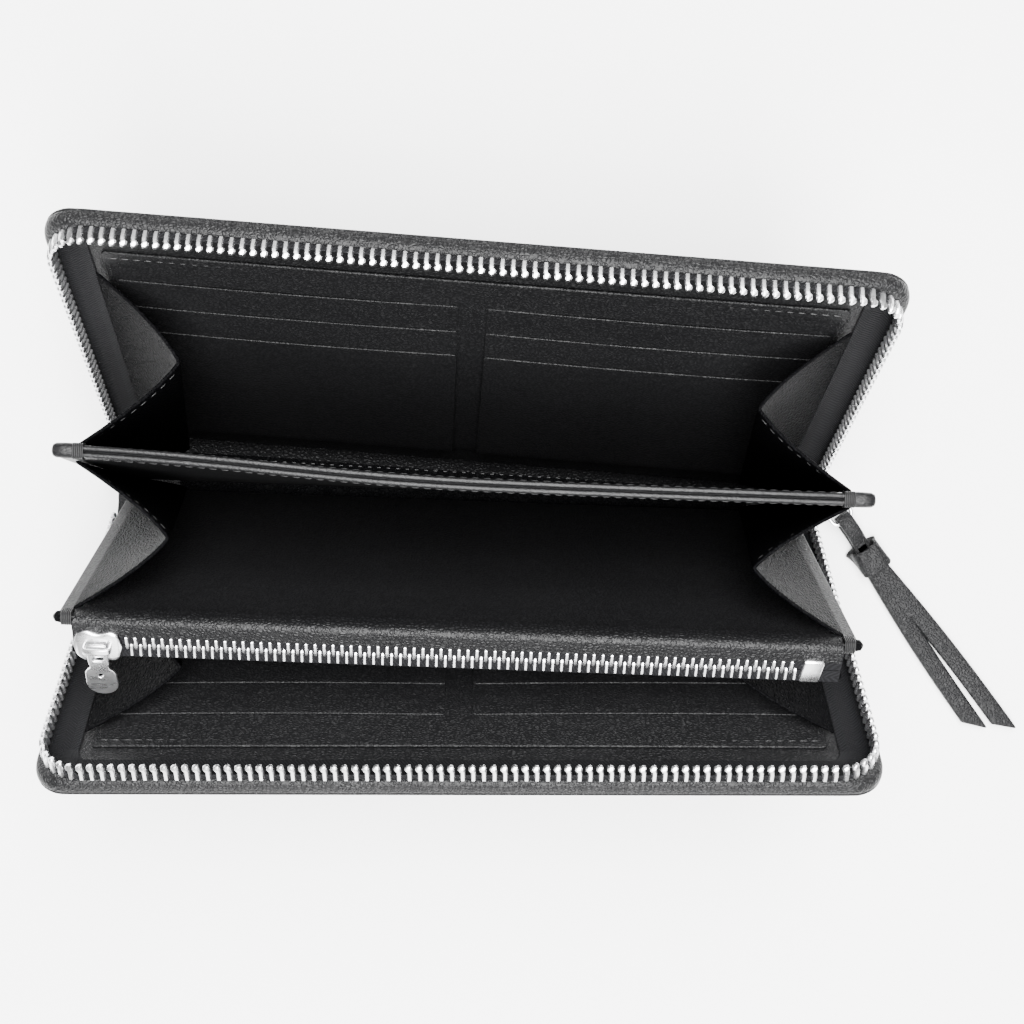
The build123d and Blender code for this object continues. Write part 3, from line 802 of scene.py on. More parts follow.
@dataclass(frozen=True)
class Seam:
    """A row of stitches: short round-ended threads along a path, 8 or 9 to the inch."""

    stitch: float = 1.9
    gap: float = 0.75
    thread: float = 0.28

    def along(self, path: Array, up: Array) -> Surface:
        """Stitches along a path. Each is a tube of six sides whose radius grows from and falls to a third.

        Args:
            path: the seam's points.
            up: the direction in which the stitches stand out.

        Returns:
            All the stitches.
        """
        lengths = run_lengths(path)
        count = max(2, int(lengths[-1] // (self.stitch + self.gap)))
        middles = (np.arange(count) + 0.5) * lengths[-1] / count
        at = np.stack([np.interp(middles, lengths, path[:, k]) for k in range(3)], -1)
        ahead_at = np.stack([np.interp(middles + 0.2, lengths, path[:, k]) for k in range(3)], -1)
        behind_at = np.stack([np.interp(middles - 0.2, lengths, path[:, k]) for k in range(3)], -1)
        ahead = unit(ahead_at - behind_at)
        across = unit(np.cross(ahead, up))
        raised = unit(np.cross(across, ahead))
        t = np.array([-1, -0.82, -0.4, 0.4, 0.82, 1.0])
        radius = self.thread / 2 * np.array([0.3, 0.8, 1, 1, 0.8, 0.3])
        ring = circle(1.0, 6)
        sections = np.stack(np.broadcast_arrays(
            (t * self.stitch / 2)[:, None], radius[:, None] * ring[None, :, 0],
            radius[:, None] * ring[None, :, 1] - 0.12 * (t ** 4)[:, None]), -1)
        return copies(loft(sections), at, np.stack((ahead, across, raised), 1))


SEAM = Seam()


# ---------------------------------------------------------------- covers
@dataclass(frozen=True)
class Tooth:
    """One metal zip tooth: a bar clamped on the tape, with a rounded head and a nib to one side."""

    length: float = 4.2
    width: float = 1.3
    depth: float = 1.9
    nib: float = 0.34
    head: float = 1.18

    def surface(self) -> Surface:
        """Chamfered sections from the clamp to the head: wide, waisted under the head, and round."""
        share = np.array([0.0, 0.05, 0.5, 0.66, 0.74, 0.9, 1.0])
        wide = self.width * np.array([0.75, 1.0, 0.94, 0.9, self.head, self.head - 0.06, self.head * 0.5]) / 2
        deep = self.depth * np.array([0.8, 1.0, 0.96, 0.86, 0.8, 0.72, 0.4]) / 2
        shift = -self.nib * np.array([0, 0, 0, 0.1, 1.0, 0.9, 0.3])
        corner = np.array([(1, 0.5), (0.55, 1), (-0.55, 1), (-1, 0.5), (-1, -0.5), (-0.55, -1), (0.55, -1),
                           (1, -0.5)])
        x = wide[:, None] * corner[None, :, 0] + shift[:, None]
        y = np.broadcast_to((share * self.length)[:, None], x.shape)
        z = deep[:, None] * corner[None, :, 1]
        return loft(np.stack((x, y, z), -1))


@dataclass
class Cover:
    """One cover: shell leather, shoulder strip, zip tape and teeth, lining, slip pocket and card slots."""

    label: str
    leaf: Leaf
    half: float = COVER_HALF
    foot: float = 8.5
    top: float = 104.0
    corner: float = 8.0
    tape_inset: float = 1.2
    tape_corner: float = 10.5
    pitch: float = 2.4
    tooth_base: float = 2.4
    panel_half: float = 86.0
    panel_z: tuple[float, float] = (12.0, 91.2)
    slot_pitch: float = 10.0
    slot_rows: int = 3
    strip_half: float = 3.3
    spine_y: float = 0.0
    body: str = field(init=False)

    def __post_init__(self) -> None:
        """Works out the body's name."""
        self.body = f"{self.label}_cover"

    def shell(self) -> Surface:
        """The outer leather, from the fold at the spine to the rounded top corners.

        The fold is a cubic curve from the floor, level and outward, to the cover's foot along the cover.
        Above it the sheet is flat, and a row's width follows the corners' arcs.

        Returns:
            The closed sheet.
        """
        rim, n, thick = 0.55, -1.3, 1.15
        out = 1.0 if self.label == "rear" else -1.0
        arc = self.top - self.corner * (1 - np.cos(np.linspace(0, math.pi / 2, 12)[1:-1]))
        z = np.unique(np.concatenate((stations(self.foot, self.top, 26, rim)[5:], arc)))[:, None]
        x_unit = stations(-self.half, self.half, 60, rim)[None] / self.half
        x = x_unit * row_half(z, self.half, self.top, self.corner)
        flat = self.leaf.place(x, z + 0 * x, n)
        t = np.concatenate(([0, 0.01, 0.03, 0.06], np.linspace(0.1, 1, 14)[:-1]))[:, None, None]
        ends = x_unit[0] * self.half
        start = np.stack((ends, np.full_like(ends, self.spine_y), np.full_like(ends, thick / 2)), -1)[None]
        stop = self.leaf.place(ends, self.foot, n)[None]
        reach = np.abs(stop[..., 1:2] - start[..., 1:2]) * 0.62
        first = start + reach * np.array([0, out, 0])
        second = stop - self.leaf.upward() * np.maximum(reach, 3.0) * 0.55
        fold = ((1 - t) ** 3 * start + 3 * (1 - t) ** 2 * t * first + 3 * (1 - t) * t ** 2 * second
                + t ** 3 * stop)
        middle = np.concatenate((fold, flat))
        gap = outline_gap(x, z, self.half, self.top, self.corner)
        fold_gap = np.minimum(self.half - np.abs(ends)[None], t[..., 0] * 9)
        share = rounding(np.clip(np.concatenate((fold_gap, gap)), 0, None), rim)
        return closed_sheet(middle, rimmed(share), thick)

    def shoulder(self) -> Surface:
        """The leather strip that turns from the cover's edge in to the zip.

        A point goes from the outline to the tape's line by a share, and rises as a rounded step.

        Returns:
            The closed strip.
        """
        foot, inset = self.foot - 2.5, self.tape_inset
        outer = arch(self.half, foot, self.top, self.corner)
        inner = arch(self.half - inset, foot, self.top - inset, self.tape_corner)
        curve = np.array([(0.26, -1.0), (0.1, -0.98), (-0.02, -0.75), (-0.05, -0.3), (-0.04, 0.5),
                          (0.02, 1.1), (0.16, 1.75), (0.4, 2.2), (0.72, 2.42), (1.0, 2.45), (1.02, 2.2),
                          (0.74, 2.05), (0.46, 1.75), (0.3, 1.2), (0.26, 0.3)])
        xz = outer[:, None] + (inner - outer)[:, None] * curve[None, :, :1]
        sections = self.leaf.place(xz[..., 0], xz[..., 1], np.broadcast_to(curve[None, :, 1], xz.shape[:2]))
        return loft(sections)

    def tape(self) -> Surface:
        """The woven tape: a bead under the teeth, a cove down to the lining, and a part that is sewn flat."""
        line = [(0.05, 2.4), (0.0, 3.5), (0.18, 3.75), (0.38, 3.5), (0.45, 2.5), (0.8, 1.6), (1.5, 1.0),
                (2.8, 0.7), (5.0, 0.6), (7.6, 0.5), (7.8, 0.2), (7.6, 0.06), (2.5, 0.06), (0.3, 0.3),
                (0.1, 1.2)]
        rings = []
        for inset, n in line:
            edge = self.tape_inset + inset
            path = arch(self.half - edge, self.foot, self.top - edge, self.tape_corner - inset)
            rings.append(self.leaf.place(path[:, 0], path[:, 1], n))
        sections = np.stack(rings, 1)
        made = loft(sections)
        across = run_lengths(np.array(line))
        along = run_lengths(sections[:, 0])
        made.flat = np.stack(np.meshgrid(along, across, indexing="ij"), -1).reshape(-1, 2)
        return made

    def teeth(self) -> Surface:
        """Teeth at even steps along the tape's line, each square to it and pointing to the middle plane."""
        edge = self.tape_inset + 0.3
        path = arch(self.half - edge, self.foot, self.top - edge, self.tape_corner - 0.3)
        lengths = run_lengths(path)
        count = int(lengths[-1] // self.pitch)
        at = (lengths[-1] - (count - 1) * self.pitch) / 2 + np.arange(count) * self.pitch
        spots = [np.stack([np.interp(at + step, lengths, path[:, k]) for k in (0, 1)], -1)
                 for step in (-0.1, 0, 0.1)]
        placed = [self.leaf.place(s[:, 0], s[:, 1], self.tooth_base) for s in spots]
        ahead = unit(placed[2] - placed[0])
        if self.label == "rear":
            ahead = -ahead
        pointing = np.broadcast_to(self.leaf.outward(), ahead.shape)
        return copies(Tooth().surface(), placed[1], np.stack((ahead, pointing, np.cross(ahead, pointing)), 1))

    def slots(self, hand: Hand) -> Surface:
        """One column of card slots: sheets that step down from behind to the front, each bulging a little."""
        ends = sorted((hand.value * self.strip_half, hand.value * (self.panel_half - 2)))
        rows = []
        for k in range(self.slot_rows):
            z = (self.panel_z[0] + 0.3, self.panel_z[1] - (k + 1) * self.slot_pitch)
            rows.append(leaf_sheet(self.leaf, (ends[0], ends[1]), z, 0.9 + 0.36 * k, 0.42, 0.8, 0.45))
        return Surface.joined(rows)

    def seams(self) -> Surface:
        """Stitches under the slip pocket's edge and down its two ends."""
        low, high = self.panel_z
        x_end, z_top = self.panel_half - 1.3, high - 2.0
        up = self.leaf.outward()
        x = np.linspace(-x_end, x_end, 80)
        z = np.linspace(low + 2, z_top - 2, 50)
        rows = [self.leaf.place(x, z_top, 0.78)]
        rows += [self.leaf.place(end * x_end, z, 0.78) for end in (-1, 1)]
        return Surface.joined([SEAM.along(row, up) for row in rows])

    def build(self) -> None:
        """Makes every piece of the cover."""
        name = self.label
        skin = make(f"{name}_shell_leather", self.shell(), SHELL_CALF,
                    stands_for=[f"{name}_cover_leather", f"{name}_cover_board"])
        parent, start = ("root", (0, 3.0, 1.0)) if name == "rear" else ("coin_pocket", (0, self.spine_y, 0.5))
        bend_between(skin, (parent, self.body), start, self.leaf.place(0, self.foot, -1.3))
        make(f"{name}_shoulder_strip", self.shoulder(), EDGE_CALF, self.body, [f"{name}_edge_strip"])
        make(f"{name}_zip_tape_woven", self.tape(), TAPE, self.body, [f"{name}_zip_tape"])
        make(f"{name}_zip_chain", self.teeth(), NICKEL, self.body, [f"{name}_zip_teeth"])
        inset = 1.4
        lining = leaf_sheet(self.leaf, (-self.half + inset, self.half - inset),
                            (self.foot - 4, self.top - inset), -0.3, 0.6, self.corner - inset, 0.0, 0.3)
        make(f"{name}_lining_leather", lining, LINING_CALF, self.body, [f"{name}_cover_lining"])
        ends = (-self.panel_half, self.panel_half)
        pocket = leaf_sheet(self.leaf, ends, self.panel_z, 0.36, 0.72, 1.0, 0.3)
        make(f"{name}_slip_pocket_sheet", pocket, LINING_CALF, self.body, [f"{name}_slip_pocket"])
        for hand in Hand:
            make(f"{name}_slots_{hand.name.lower()}", self.slots(hand), LINING_CALF, self.body,
                 [f"{name}_card_slots_{hand.name.lower()}"])
        make(f"{name}_pocket_seams", self.seams(), THREAD, self.body)


# ---------------------------------------------------------------- divider
@dataclass
class Divider:
    """The two-leaf divider, whose free top edge waves: its left end swings to the rear."""

    half: float = POCKET_HALF
    foot: float = 5.0
    top: float = 92.0
    leaf_thickness: float = 1.3
    faces: tuple[float, float] = (-0.4, 2.4)
    wave_x: tuple[float, ...] = (-91.0, -84.0, -68.0, -54.0, -38.0, -20.0, -2.0, 17.0, 45.0, 91.0)
    wave_y: tuple[float, ...] = (4.5, 4.4, 3.8, 3.0, 1.9, 0.8, 0.2, 0.0, -0.1, -0.1)

    def wave(self, x: Array, z: Array) -> Array:
        """Sideways push: a curve through the given points at the top, fading as the height's power of 1.6."""
        fine = np.linspace(-self.half, self.half, 400)
        raw = np.interp(fine, self.wave_x, self.wave_y)
        kernel = np.hanning(61)
        smooth = np.convolve(np.pad(raw, 30, mode="edge"), kernel / kernel.sum(), mode="valid")
        return np.interp(x, fine, smooth) * np.clip((z - self.foot) / (self.top - self.foot), 0, 1) ** 1.6

    def leaf(self, y: float) -> Surface:
        """One leaf: a waved sheet with rounded rims, its end edges eased back at the top by a small arc."""
        rim = self.leaf_thickness / 2
        z = stations(self.foot, self.top, 26, rim)[:, None]
        drop = 3.0 * (1 - np.sqrt(np.clip(1 - np.clip((z - self.top + 3.0) / 3.0, 0, 1) ** 2, 0, None)))
        x_unit = stations(-self.half, self.half, 90, rim)[None] / self.half
        x = x_unit * (self.half - drop)
        share = np.minimum(rounding((1 - np.abs(x_unit)) * self.half, rim) + 0 * z,
                           rounding(np.minimum(self.top - z, z - self.foot), rim) + 0 * x)
        middle = np.stack((x, y + self.wave(x, z), z + 0 * x), -1)
        return closed_sheet(middle, rimmed(share), self.leaf_thickness)

    def tacks(self) -> Surface:
        """Turns of thread round both leaves near each end: closed loops of a soft box's outline."""
        loops = []
        ring = soft_box(3.3, 3.2, 0.8, 4)
        for hand in Hand:
            for k in range(TACK_TURNS):
                x = hand.value * (self.half - 4.2 - TACK_PITCH * k)
                y = 1.0 + float(self.wave(np.array([x]), np.array([self.top]))[0]) + ring[:, 0]
                path = np.stack((np.full(len(ring), x), y, self.top - 1.32 + ring[:, 1]), -1)
                loops.append(thread_loop(path))
        return Surface.joined(loops)

    def bound_ends(self) -> Surface:
        """A leather cap folded over both leaves at each end: a rounded box that swells and closes."""
        caps = []
        for hand in Hand:
            x = hand.value * (self.half + np.array([-4.3, -4.0, -2.2, -0.3, 0.4, 0.7]))
            size = np.array([0.85, 1.0, 1.0, 0.95, 0.75, 0.4])
            ring = soft_box(3.5, 3.4, 1.2, 4)
            y = 1.0 + self.wave(x[:, None], np.array([[self.top]]))
            caps.append(swelled(x, size, ring, y, self.top - 1.35))
        return Surface.joined(caps)

    def build(self) -> None:
        """Makes the leaves, the recessed core, the edge seams, the bound ends and the bar tacks."""
        front, rear = self.faces
        gap = self.leaf_thickness / 2
        make("divider_front_skin", self.leaf(front + gap), RIDGE_CALF, "root", ["divider_front_leaf"])
        make("divider_rear_skin", self.leaf(rear - gap), RIDGE_CALF, "root", ["divider_rear_leaf"])
        x = np.linspace(-self.half + 7, self.half - 7, 160)
        z = np.full_like(x, self.top - 2.3)
        rows = []
        for y, out in ((front - 0.04, -1), (rear + 0.04, 1)):
            path = np.stack((x, y + self.wave(x, z), z), -1)
            rows.append(SEAM.along(path, np.array([0.0, out, 0.0])))
        make("divider_edge_seams", Surface.joined(rows), THREAD, "root")
        make("divider_thread_tacks", self.tacks(), THREAD, "root", ["divider_bar_tacks"])
        make("divider_bound_ends", self.bound_ends(), RIDGE_CALF, "root")
        core_z = stations(self.foot, self.top - 1.2, 12, 0.2)[:, None]
        core_x = stations(-self.half + 3, self.half - 3, 60, 0.2)[None]
        core_y = 1.0 + self.wave(core_x + 0 * core_z, core_z)
        middle = np.stack(np.broadcast_arrays(core_x, core_y, core_z), -1)
        make("divider_board_core", even_sheet(middle, 0.3), BAG, "root", ["divider_core"])
        dress_cad(["divider_foot"], LINING_CALF)


# ---------------------------------------------------------------- coin pocket and its zip
@dataclass
class CoinPocket:
    """The zipped coin pocket: two walls, the leather that turns over to the zip, and the front skirt."""

    half: float = POCKET_HALF
    foot: float = 9.0
    top: float = 88.0
    front_top: float = 76.0
    depth: float = 2.4
    wall: float = 0.75
    band_reach: float = BAND_REACH
    band_half: float = BAND_HALF

    def crest(self) -> Surface:
        """The strip that turns over the rear wall's top and forward to the teeth.

        Its middle line goes through a few points from the wall to the band, in the band's (s, h).

        Returns:
            The closed strip.
        """
        line = np.array([(-1.75, -4.5), (-1.78, -2.5), (-1.75, -0.9), (-1.5, -0.1), (-1.0, 0.28),
                         (-0.3, 0.34), (0.6, 0.32), (1.4, 0.3), (2.2, 0.28), (2.75, 0.25), (2.9, 0.22)])
        x = stations(-self.band_half + 0.4, self.band_half - 0.4, 90, 0.3)
        middle = band_place(x[None], line[:, :1], line[:, 1:])
        return even_sheet(middle, 0.5)

    def skirt(self) -> Surface:
        """The front skirt: a slack curve from the band's front edge down to the front wall."""
        x = stations(-self.half + 2.5, self.half - 2.5, 60, 0.3)
        edge = band_place(x, self.band_reach - 0.3, -0.35)
        wall = POCKET.place(x, self.front_top - 5.0, self.depth + 0.3)
        t = np.concatenate(([0, 0.02, 0.05], np.linspace(0.1, 0.9, 14), [0.95, 0.98, 1.0]))[:, None, None]
        slack = 2.2 * np.sin(math.pi * t) * (POCKET.outward() * -0.7 + POCKET.upward() * -0.3)
        middle = edge[None] * (1 - t) + wall[None] * t + slack
        return even_sheet(middle, 0.55)

    def tacks(self) -> Surface:
        """Turns of thread round the rear wall near each end."""
        loops = []
        ring = soft_box(3.0, 3.4, 0.9, 4)
        for hand in Hand:
            for k in range(TACK_TURNS):
                x = hand.value * (self.half - 1.2 - TACK_PITCH * k)
                path = POCKET.place(np.full(len(ring), x), self.top - 1.3 + ring[:, 1], 0.75 + ring[:, 0])
                loops.append(thread_loop(path))
        return Surface.joined(loops)

    def build(self) -> None:
        """Makes the walls, crest, skirt, bound ends and seams, and dresses what is sealed inside."""
        sides = (-self.half, self.half)
        rear = leaf_sheet(POCKET, sides, (self.foot, self.top - 0.1), self.wall / 2, self.wall, 2.5)
        make("pocket_rear_wall", rear, LINING_CALF, "coin_pocket", ["coin_pocket_rear_wall"])
        middle_n = self.depth - self.wall / 2
        front = leaf_sheet(POCKET, sides, (self.foot, self.front_top), middle_n, self.wall, 2.0)
        make("pocket_front_wall", front, LINING_CALF, "coin_pocket", ["coin_pocket_front_wall"])
        crest = make("pocket_crest_strip", self.crest(), EDGE_CALF)
        bend_between(crest, ("coin_pocket", "coin_zip"), band_place(0, -1.7, 0), band_place(0, 0.6, 0))
        skirt = make("pocket_front_skirt", self.skirt(), SHADE_DARKENED_CALF)
        bend_between(skirt, ("coin_pocket", "coin_zip"), POCKET.place(0, self.front_top - 5.0, self.depth),
                     band_place(0, self.band_reach, 0))
        make("pocket_thread_tacks", self.tacks(), THREAD, "coin_pocket", ["coin_pocket_bar_tacks"])
        ends = []
        for hand in Hand:
            x = hand.value * (self.half + np.array([-3.2, -3.0, -1.0, 0.4, 1.0]))
            size = np.array([0.7, 1.0, 0.98, 0.8, 0.3])
            ring = soft_box(2.7, 3.1, 1.0, 3)
            ends.append(loft(POCKET.place(x[:, None], self.top - 1.3 + size[:, None] * ring[None, :, 1],
                                          0.75 + size[:, None] * ring[None, :, 0])))
        make("pocket_bound_ends", Surface.joined(ends), SHADE_DARKENED_CALF, "coin_pocket")
        x = np.linspace(-self.half + 6, self.half - 6, 120)
        rows = [SEAM.along(POCKET.place(x, self.top - 3.0, -0.04), -POCKET.outward())]
        make("pocket_edge_seam", Surface.joined(rows), THREAD, "coin_pocket")
        dress_cad(["coin_pocket_welt"], LINING_CALF)
        dress_cad(["coin_pocket_lining"], BAG)


@dataclass
class CoinZip:
    """The coin zip: tape strips, two rows of interlocked teeth, end stop, slider and pull tab."""

    half: float = BAND_HALF
    tape_rear: float = 3.6
    reach: float = BAND_REACH
    tape_front: float = 1.4
    pitch: float = 2.05
    first: float = -75.9
    last: float = 79.0
    slider_x: float = -82.0
    slider_length: float = 11.0

    def strip(self, s_low: float, s_high: float, h: float) -> Surface:
        """A flat woven strip of the band, its UV being the length and the distance across."""
        s = stations(s_low, s_high, 6, 0.12)
        x = stations(-self.half, self.half, 60, 0.2)
        middle = band_place(x[None], s[:, None], h)
        return even_sheet(middle, 0.45)

    def chain(self, s_base: float, forward: int, offset: float, length: float) -> Surface:
        """One row of straight teeth, from its tape's edge to past the middle."""
        count = int((self.last - self.first) // self.pitch)
        x = self.first + 0.45 + (np.arange(count) + offset) * self.pitch
        places = band_place(x, s_base, 0.1)
        ahead = np.broadcast_to([1.0, 0.0, 0.0], places.shape)
        point = np.broadcast_to((band_place(0, 1, 0) - band_place(0, 0, 0)) * forward, places.shape)
        tooth = Tooth(length=length, width=0.84, depth=1.45, nib=0.0, head=0.98)
        axes = np.stack((ahead * forward, point, np.cross(ahead * forward, point)), 1)
        return copies(tooth.surface(), places, axes)

    def slider(self) -> Surface:
        """The slider: two plates that flare and narrow, a wedge between them, side flanges, and the bail.

        Each plate's half breadth is a smooth curve of the length: wide at the wedge end, waisted, and wide
        again at the mouth. The bail is a flat bar on two posts.

        Returns:
            The closed parts in one surface.
        """
        middle_s = 5.1
        u = np.linspace(-1, 1, 17)
        breadth = 3.35 + 0.9 * np.cos(math.pi * (u + 0.42)) ** 2 * np.where(u < 0, 1.0, 0.72)
        breadth *= np.sqrt(np.clip(1 - np.abs(u) ** 9, 0.0, 1)) * 0.98 + 0.02
        parts = []
        for h, flip in ((1.1, 1), (-1.1, -1)):
            ring = soft_box(2.0, 0.5, 0.22, 3)
            x = self.slider_x + u * self.slider_length / 2
            crown = 0.16 * (1 - u ** 2) * flip
            s = middle_s + breadth[:, None] * ring[None, :, 0]
            parts.append(loft(band_place(x[:, None], s, h + crown[:, None] + ring[None, :, 1])))
        rim = soft_box(0.5, 1.15, 0.2, 3)
        x = self.slider_x + np.linspace(-0.86, 0.86, 13) * self.slider_length / 2
        edge = np.interp(np.linspace(-0.86, 0.86, 13), u, breadth) - 0.2
        for side in (-1, 1):
            for h in (0.78, -0.78):
                s = middle_s + side * edge[:, None] + rim[None, :, 0]
                parts.append(loft(band_place(x[:, None], s, h + 0.6 * rim[None, :, 1])))
        nose = soft_box(1.6, 1.4, 0.5, 3)
        x = self.slider_x - self.slider_length / 2 + np.array([0.3, 0.5, 2.0, 3.6, 4.2])
        size = np.array([0.6, 1.0, 0.9, 0.5, 0.15])
        parts.append(loft(band_place(x[:, None], middle_s + size[:, None] * nose[None, :, 0],
                                     1.5 * nose[None, :, 1] + 0 * size[:, None])))
        arc = np.array([(-3.0, 1.2), (-3.0, 2.6), (-2.75, 3.2), (-2.2, 3.42), (0, 3.5), (2.2, 3.42),
                        (2.75, 3.2), (3.0, 2.6), (3.0, 1.2)])
        path = band_place(self.slider_x + arc[:, 0], middle_s, arc[:, 1])
        across, up = along_path(path, band_place(0, 1, 0) - band_place(0, 0, 0))
        parts.append(carried(soft_box(0.6, 1.7, 0.22, 3), path, across, up))
        return Surface.joined(parts)

    def pull(self) -> bpy.types.Object:
        """The pull tab: a pressed plate with a window for the bail, a neck, and a rounded end with a hole.

        The outline is a closed curve filled flat, given a thickness and a rounded edge, and laid in place.

        Returns:
            The piece.
        """
        half_width = np.array([(0.0, 1.6), (0.25, 2.05), (0.7, 2.2), (5.6, 2.2), (6.4, 2.0), (7.3, 2.05),
                               (8.1, 2.9), (8.9, 3.35), (12.4, 3.5), (13.6, 3.25), (14.6, 2.6),
                               (15.3, 1.5), (15.6, 0.4)])
        right = half_width[:, ::-1] * (1, -1)
        left = right[::-1] * (-1, 1)
        window = soft_box(3.0, 4.4, 0.7, 4) + (0, -2.9)
        hole = circle(0.8, 16) + (0.0, -9.6)
        curve = bpy.data.curves.new("coin_pull_tab_plate", "CURVE")
        curve.dimensions = "2D"
        curve.fill_mode = "BOTH"
        curve.extrude = 0.16 * MM
        curve.bevel_depth = 0.19 * MM
        curve.bevel_resolution = 3
        for outline in (np.concatenate((right, left)), window, hole):
            line = curve.splines.new("POLY")
            line.points.add(len(outline) - 1)
            flat = np.c_[outline * MM, np.zeros(len(outline)), np.ones(len(outline))]
            line.points.foreach_set("co", flat.ravel())
            line.use_cyclic_u = True
        holder = bpy.data.objects.new("coin_pull_curve", curve)
        bpy.context.scene.collection.objects.link(holder)
        bpy.context.view_layer.update()
        mesh = bpy.data.meshes.new_from_object(holder.evaluated_get(bpy.context.evaluated_depsgraph_get()))
        bpy.data.objects.remove(holder)
        points = np.zeros(len(mesh.vertices) * 3)
        mesh.vertices.foreach_get("co", points)
        points = points.reshape(-1, 3) / MM
        dropped = turned(np.stack((points[:, 0], points[:, 1] + 1.35, points[:, 2] - 1.05), -1), (0, 0, 0),
                         (1, 0, 0), 7.0)
        placed = band_place(self.slider_x + dropped[:, 0], 5.4 - dropped[:, 1], 3.4 + dropped[:, 2])
        faces = [list(p.vertices) for p in mesh.polygons]
        return make("coin_pull_tab_plate", Surface(placed, faces, points[:, :2]), NICKEL, "coin_pull",
                    ["coin_zip_pull_tab"])

    def stop(self) -> Surface:
        """The end stop: a folded plate, rounded on top, that grips both tapes."""
        x = self.last - 0.3 + np.array([0, 0.15, 0.5, 4.0, 4.35, 4.5])
        size = np.array([0.86, 0.96, 1.0, 1.0, 0.96, 0.86])
        ring = soft_box(6.2, 2.2, 0.55, 4)
        return loft(band_place(x[:, None] - 0.1 * ring[None, :, 0], 5.3 + size[:, None] * ring[None, :, 0],
                               size[:, None] * ring[None, :, 1]))

    def build(self) -> None:
        """Makes every piece of the coin zip."""
        make("coin_tape_rear_strip", self.strip(-0.8, self.tape_rear + 1.5, -0.05), TAPE, "coin_zip",
             ["coin_zip_tape_rear"])
        make("coin_tape_front_strip", self.strip(self.reach - self.tape_front - 1.8, self.reach, -0.05), TAPE,
             "coin_zip", ["coin_zip_tape_front"])
        make("coin_chain_rear", self.chain(self.tape_rear - 0.9, 1, 0.0, 3.7), NICKEL, "coin_zip",
             ["coin_zip_teeth_rear"])
        make("coin_chain_front", self.chain(self.reach - self.tape_front + 0.8, -1, 0.5, 3.2), NICKEL,
             "coin_zip", ["coin_zip_teeth_front"])
        make("coin_end_stop", self.stop(), NICKEL, "coin_zip", ["coin_zip_stop"])
        make("coin_slider_body", self.slider(), NICKEL, "coin_slider", ["coin_zip_slider"])
        self.pull()


# ---------------------------------------------------------------- gussets
@dataclass
class Gusset:
    """One folded gusset between two leaves. Its fold points into the wallet."""

    name: str
    hand: Hand
    bodies: tuple[str, str]
    near: Callable[[Array, Array], Array]
    far: Callable[[Array, Array], Array]
    tops: tuple[float, float] = (85.0, 85.0)
    foot: float = 13.0
    x_edge: float = 88.0
    fold_top: float = 67.0
    fold_foot: float = 76.0
    thickness: float = 0.85

    def middle(self, t: Array, rise: Array, lift: float = 0.0) -> Array:
        """The gusset's middle surface.

        At share t across, a point lies between the two leaves' edges, moved in along x by the fold's depth
        times one minus the distance from the fold to the power 1.15, with the panels bowed a little.

        Args:
            t: share from the near leaf (0) to the far one (1).
            rise: share of the height, from the foot (0) to the top edge (1).
            lift: how far the points are moved towards the wallet's middle.

        Returns:
            The points.
        """
        sign = self.hand.value
        t, rise = np.broadcast_arrays(t, rise)
        edge = np.full(t.shape, sign * self.x_edge)
        a, b = [place(edge, self.foot + (top - self.foot) * rise)
                for place, top in zip((self.near, self.far), self.tops)]
        t, rise = t[..., None], rise[..., None]
        depth = self.x_edge - (self.fold_foot + (self.fold_top - self.fold_foot) * rise)
        off = np.abs(2 * t - 1)
        inward = depth * (1 - off ** 1.15) + 0.9 * np.sin(math.pi * off) * rise + lift
        points = a * (1 - t) + b * t
        return points - sign * inward * np.array([1.0, 0, 0]) - np.array([0, 0, 1.4]) * (1 - off) * rise

    def surface(self) -> Surface:
        """The closed sheet, finest near its rims and at the fold."""
        rim, height = self.thickness / 2, self.tops[0] - self.foot
        rise = stations(0.0, height, 24, rim)[:, None] / height
        spread = np.array([0, 0.008, 0.025, 0.05, 0.1, 0.2, 0.3, 0.38, 0.44, 0.475, 0.49])
        t = np.concatenate((spread, [0.5], 1 - spread[::-1]))[None]
        share = np.minimum(rounding(np.minimum(1 - rise, rise) * height, rim) + 0 * t,
                           np.where((t > 0) & (t < 1), 1.0, 0.0) + 0 * rise)
        share[0] = share[-1] = 0
        return closed_sheet(self.middle(t, rise), share, self.thickness)

    def seam(self) -> Surface:
        """Stitches a little under the top edge, on both sides of each panel."""
        rows = []
        for low, high in ((0.06, 0.46), (0.54, 0.94)):
            t = np.linspace(low, high, 30)
            rise = np.full_like(t, 1 - 2.2 / (self.tops[0] - self.foot))
            for lift in (self.thickness / 2 + 0.1, -self.thickness / 2 - 0.1):
                out = np.array([-math.copysign(1.0, lift) * self.hand.value, 0.0, 0.0])
                rows.append(SEAM.along(self.middle(t, rise, lift), out))
        return Surface.joined(rows)

    def build(self) -> None:
        """Makes the gusset and its seam."""
        edge = np.array([self.hand.value * self.x_edge])
        ends = [place(edge, np.array([top]))[0] for place, top in zip((self.near, self.far), self.tops)]
        piece = make(f"{self.name}_sheet", self.surface(), SHADE_DARKENED_CALF, stands_for=[self.name], sharp=60.0)
        bend_between(piece, self.bodies, *ends)
        seam = make(f"{self.name}_seam", self.seam(), THREAD)
        bend_between(seam, self.bodies, *ends)


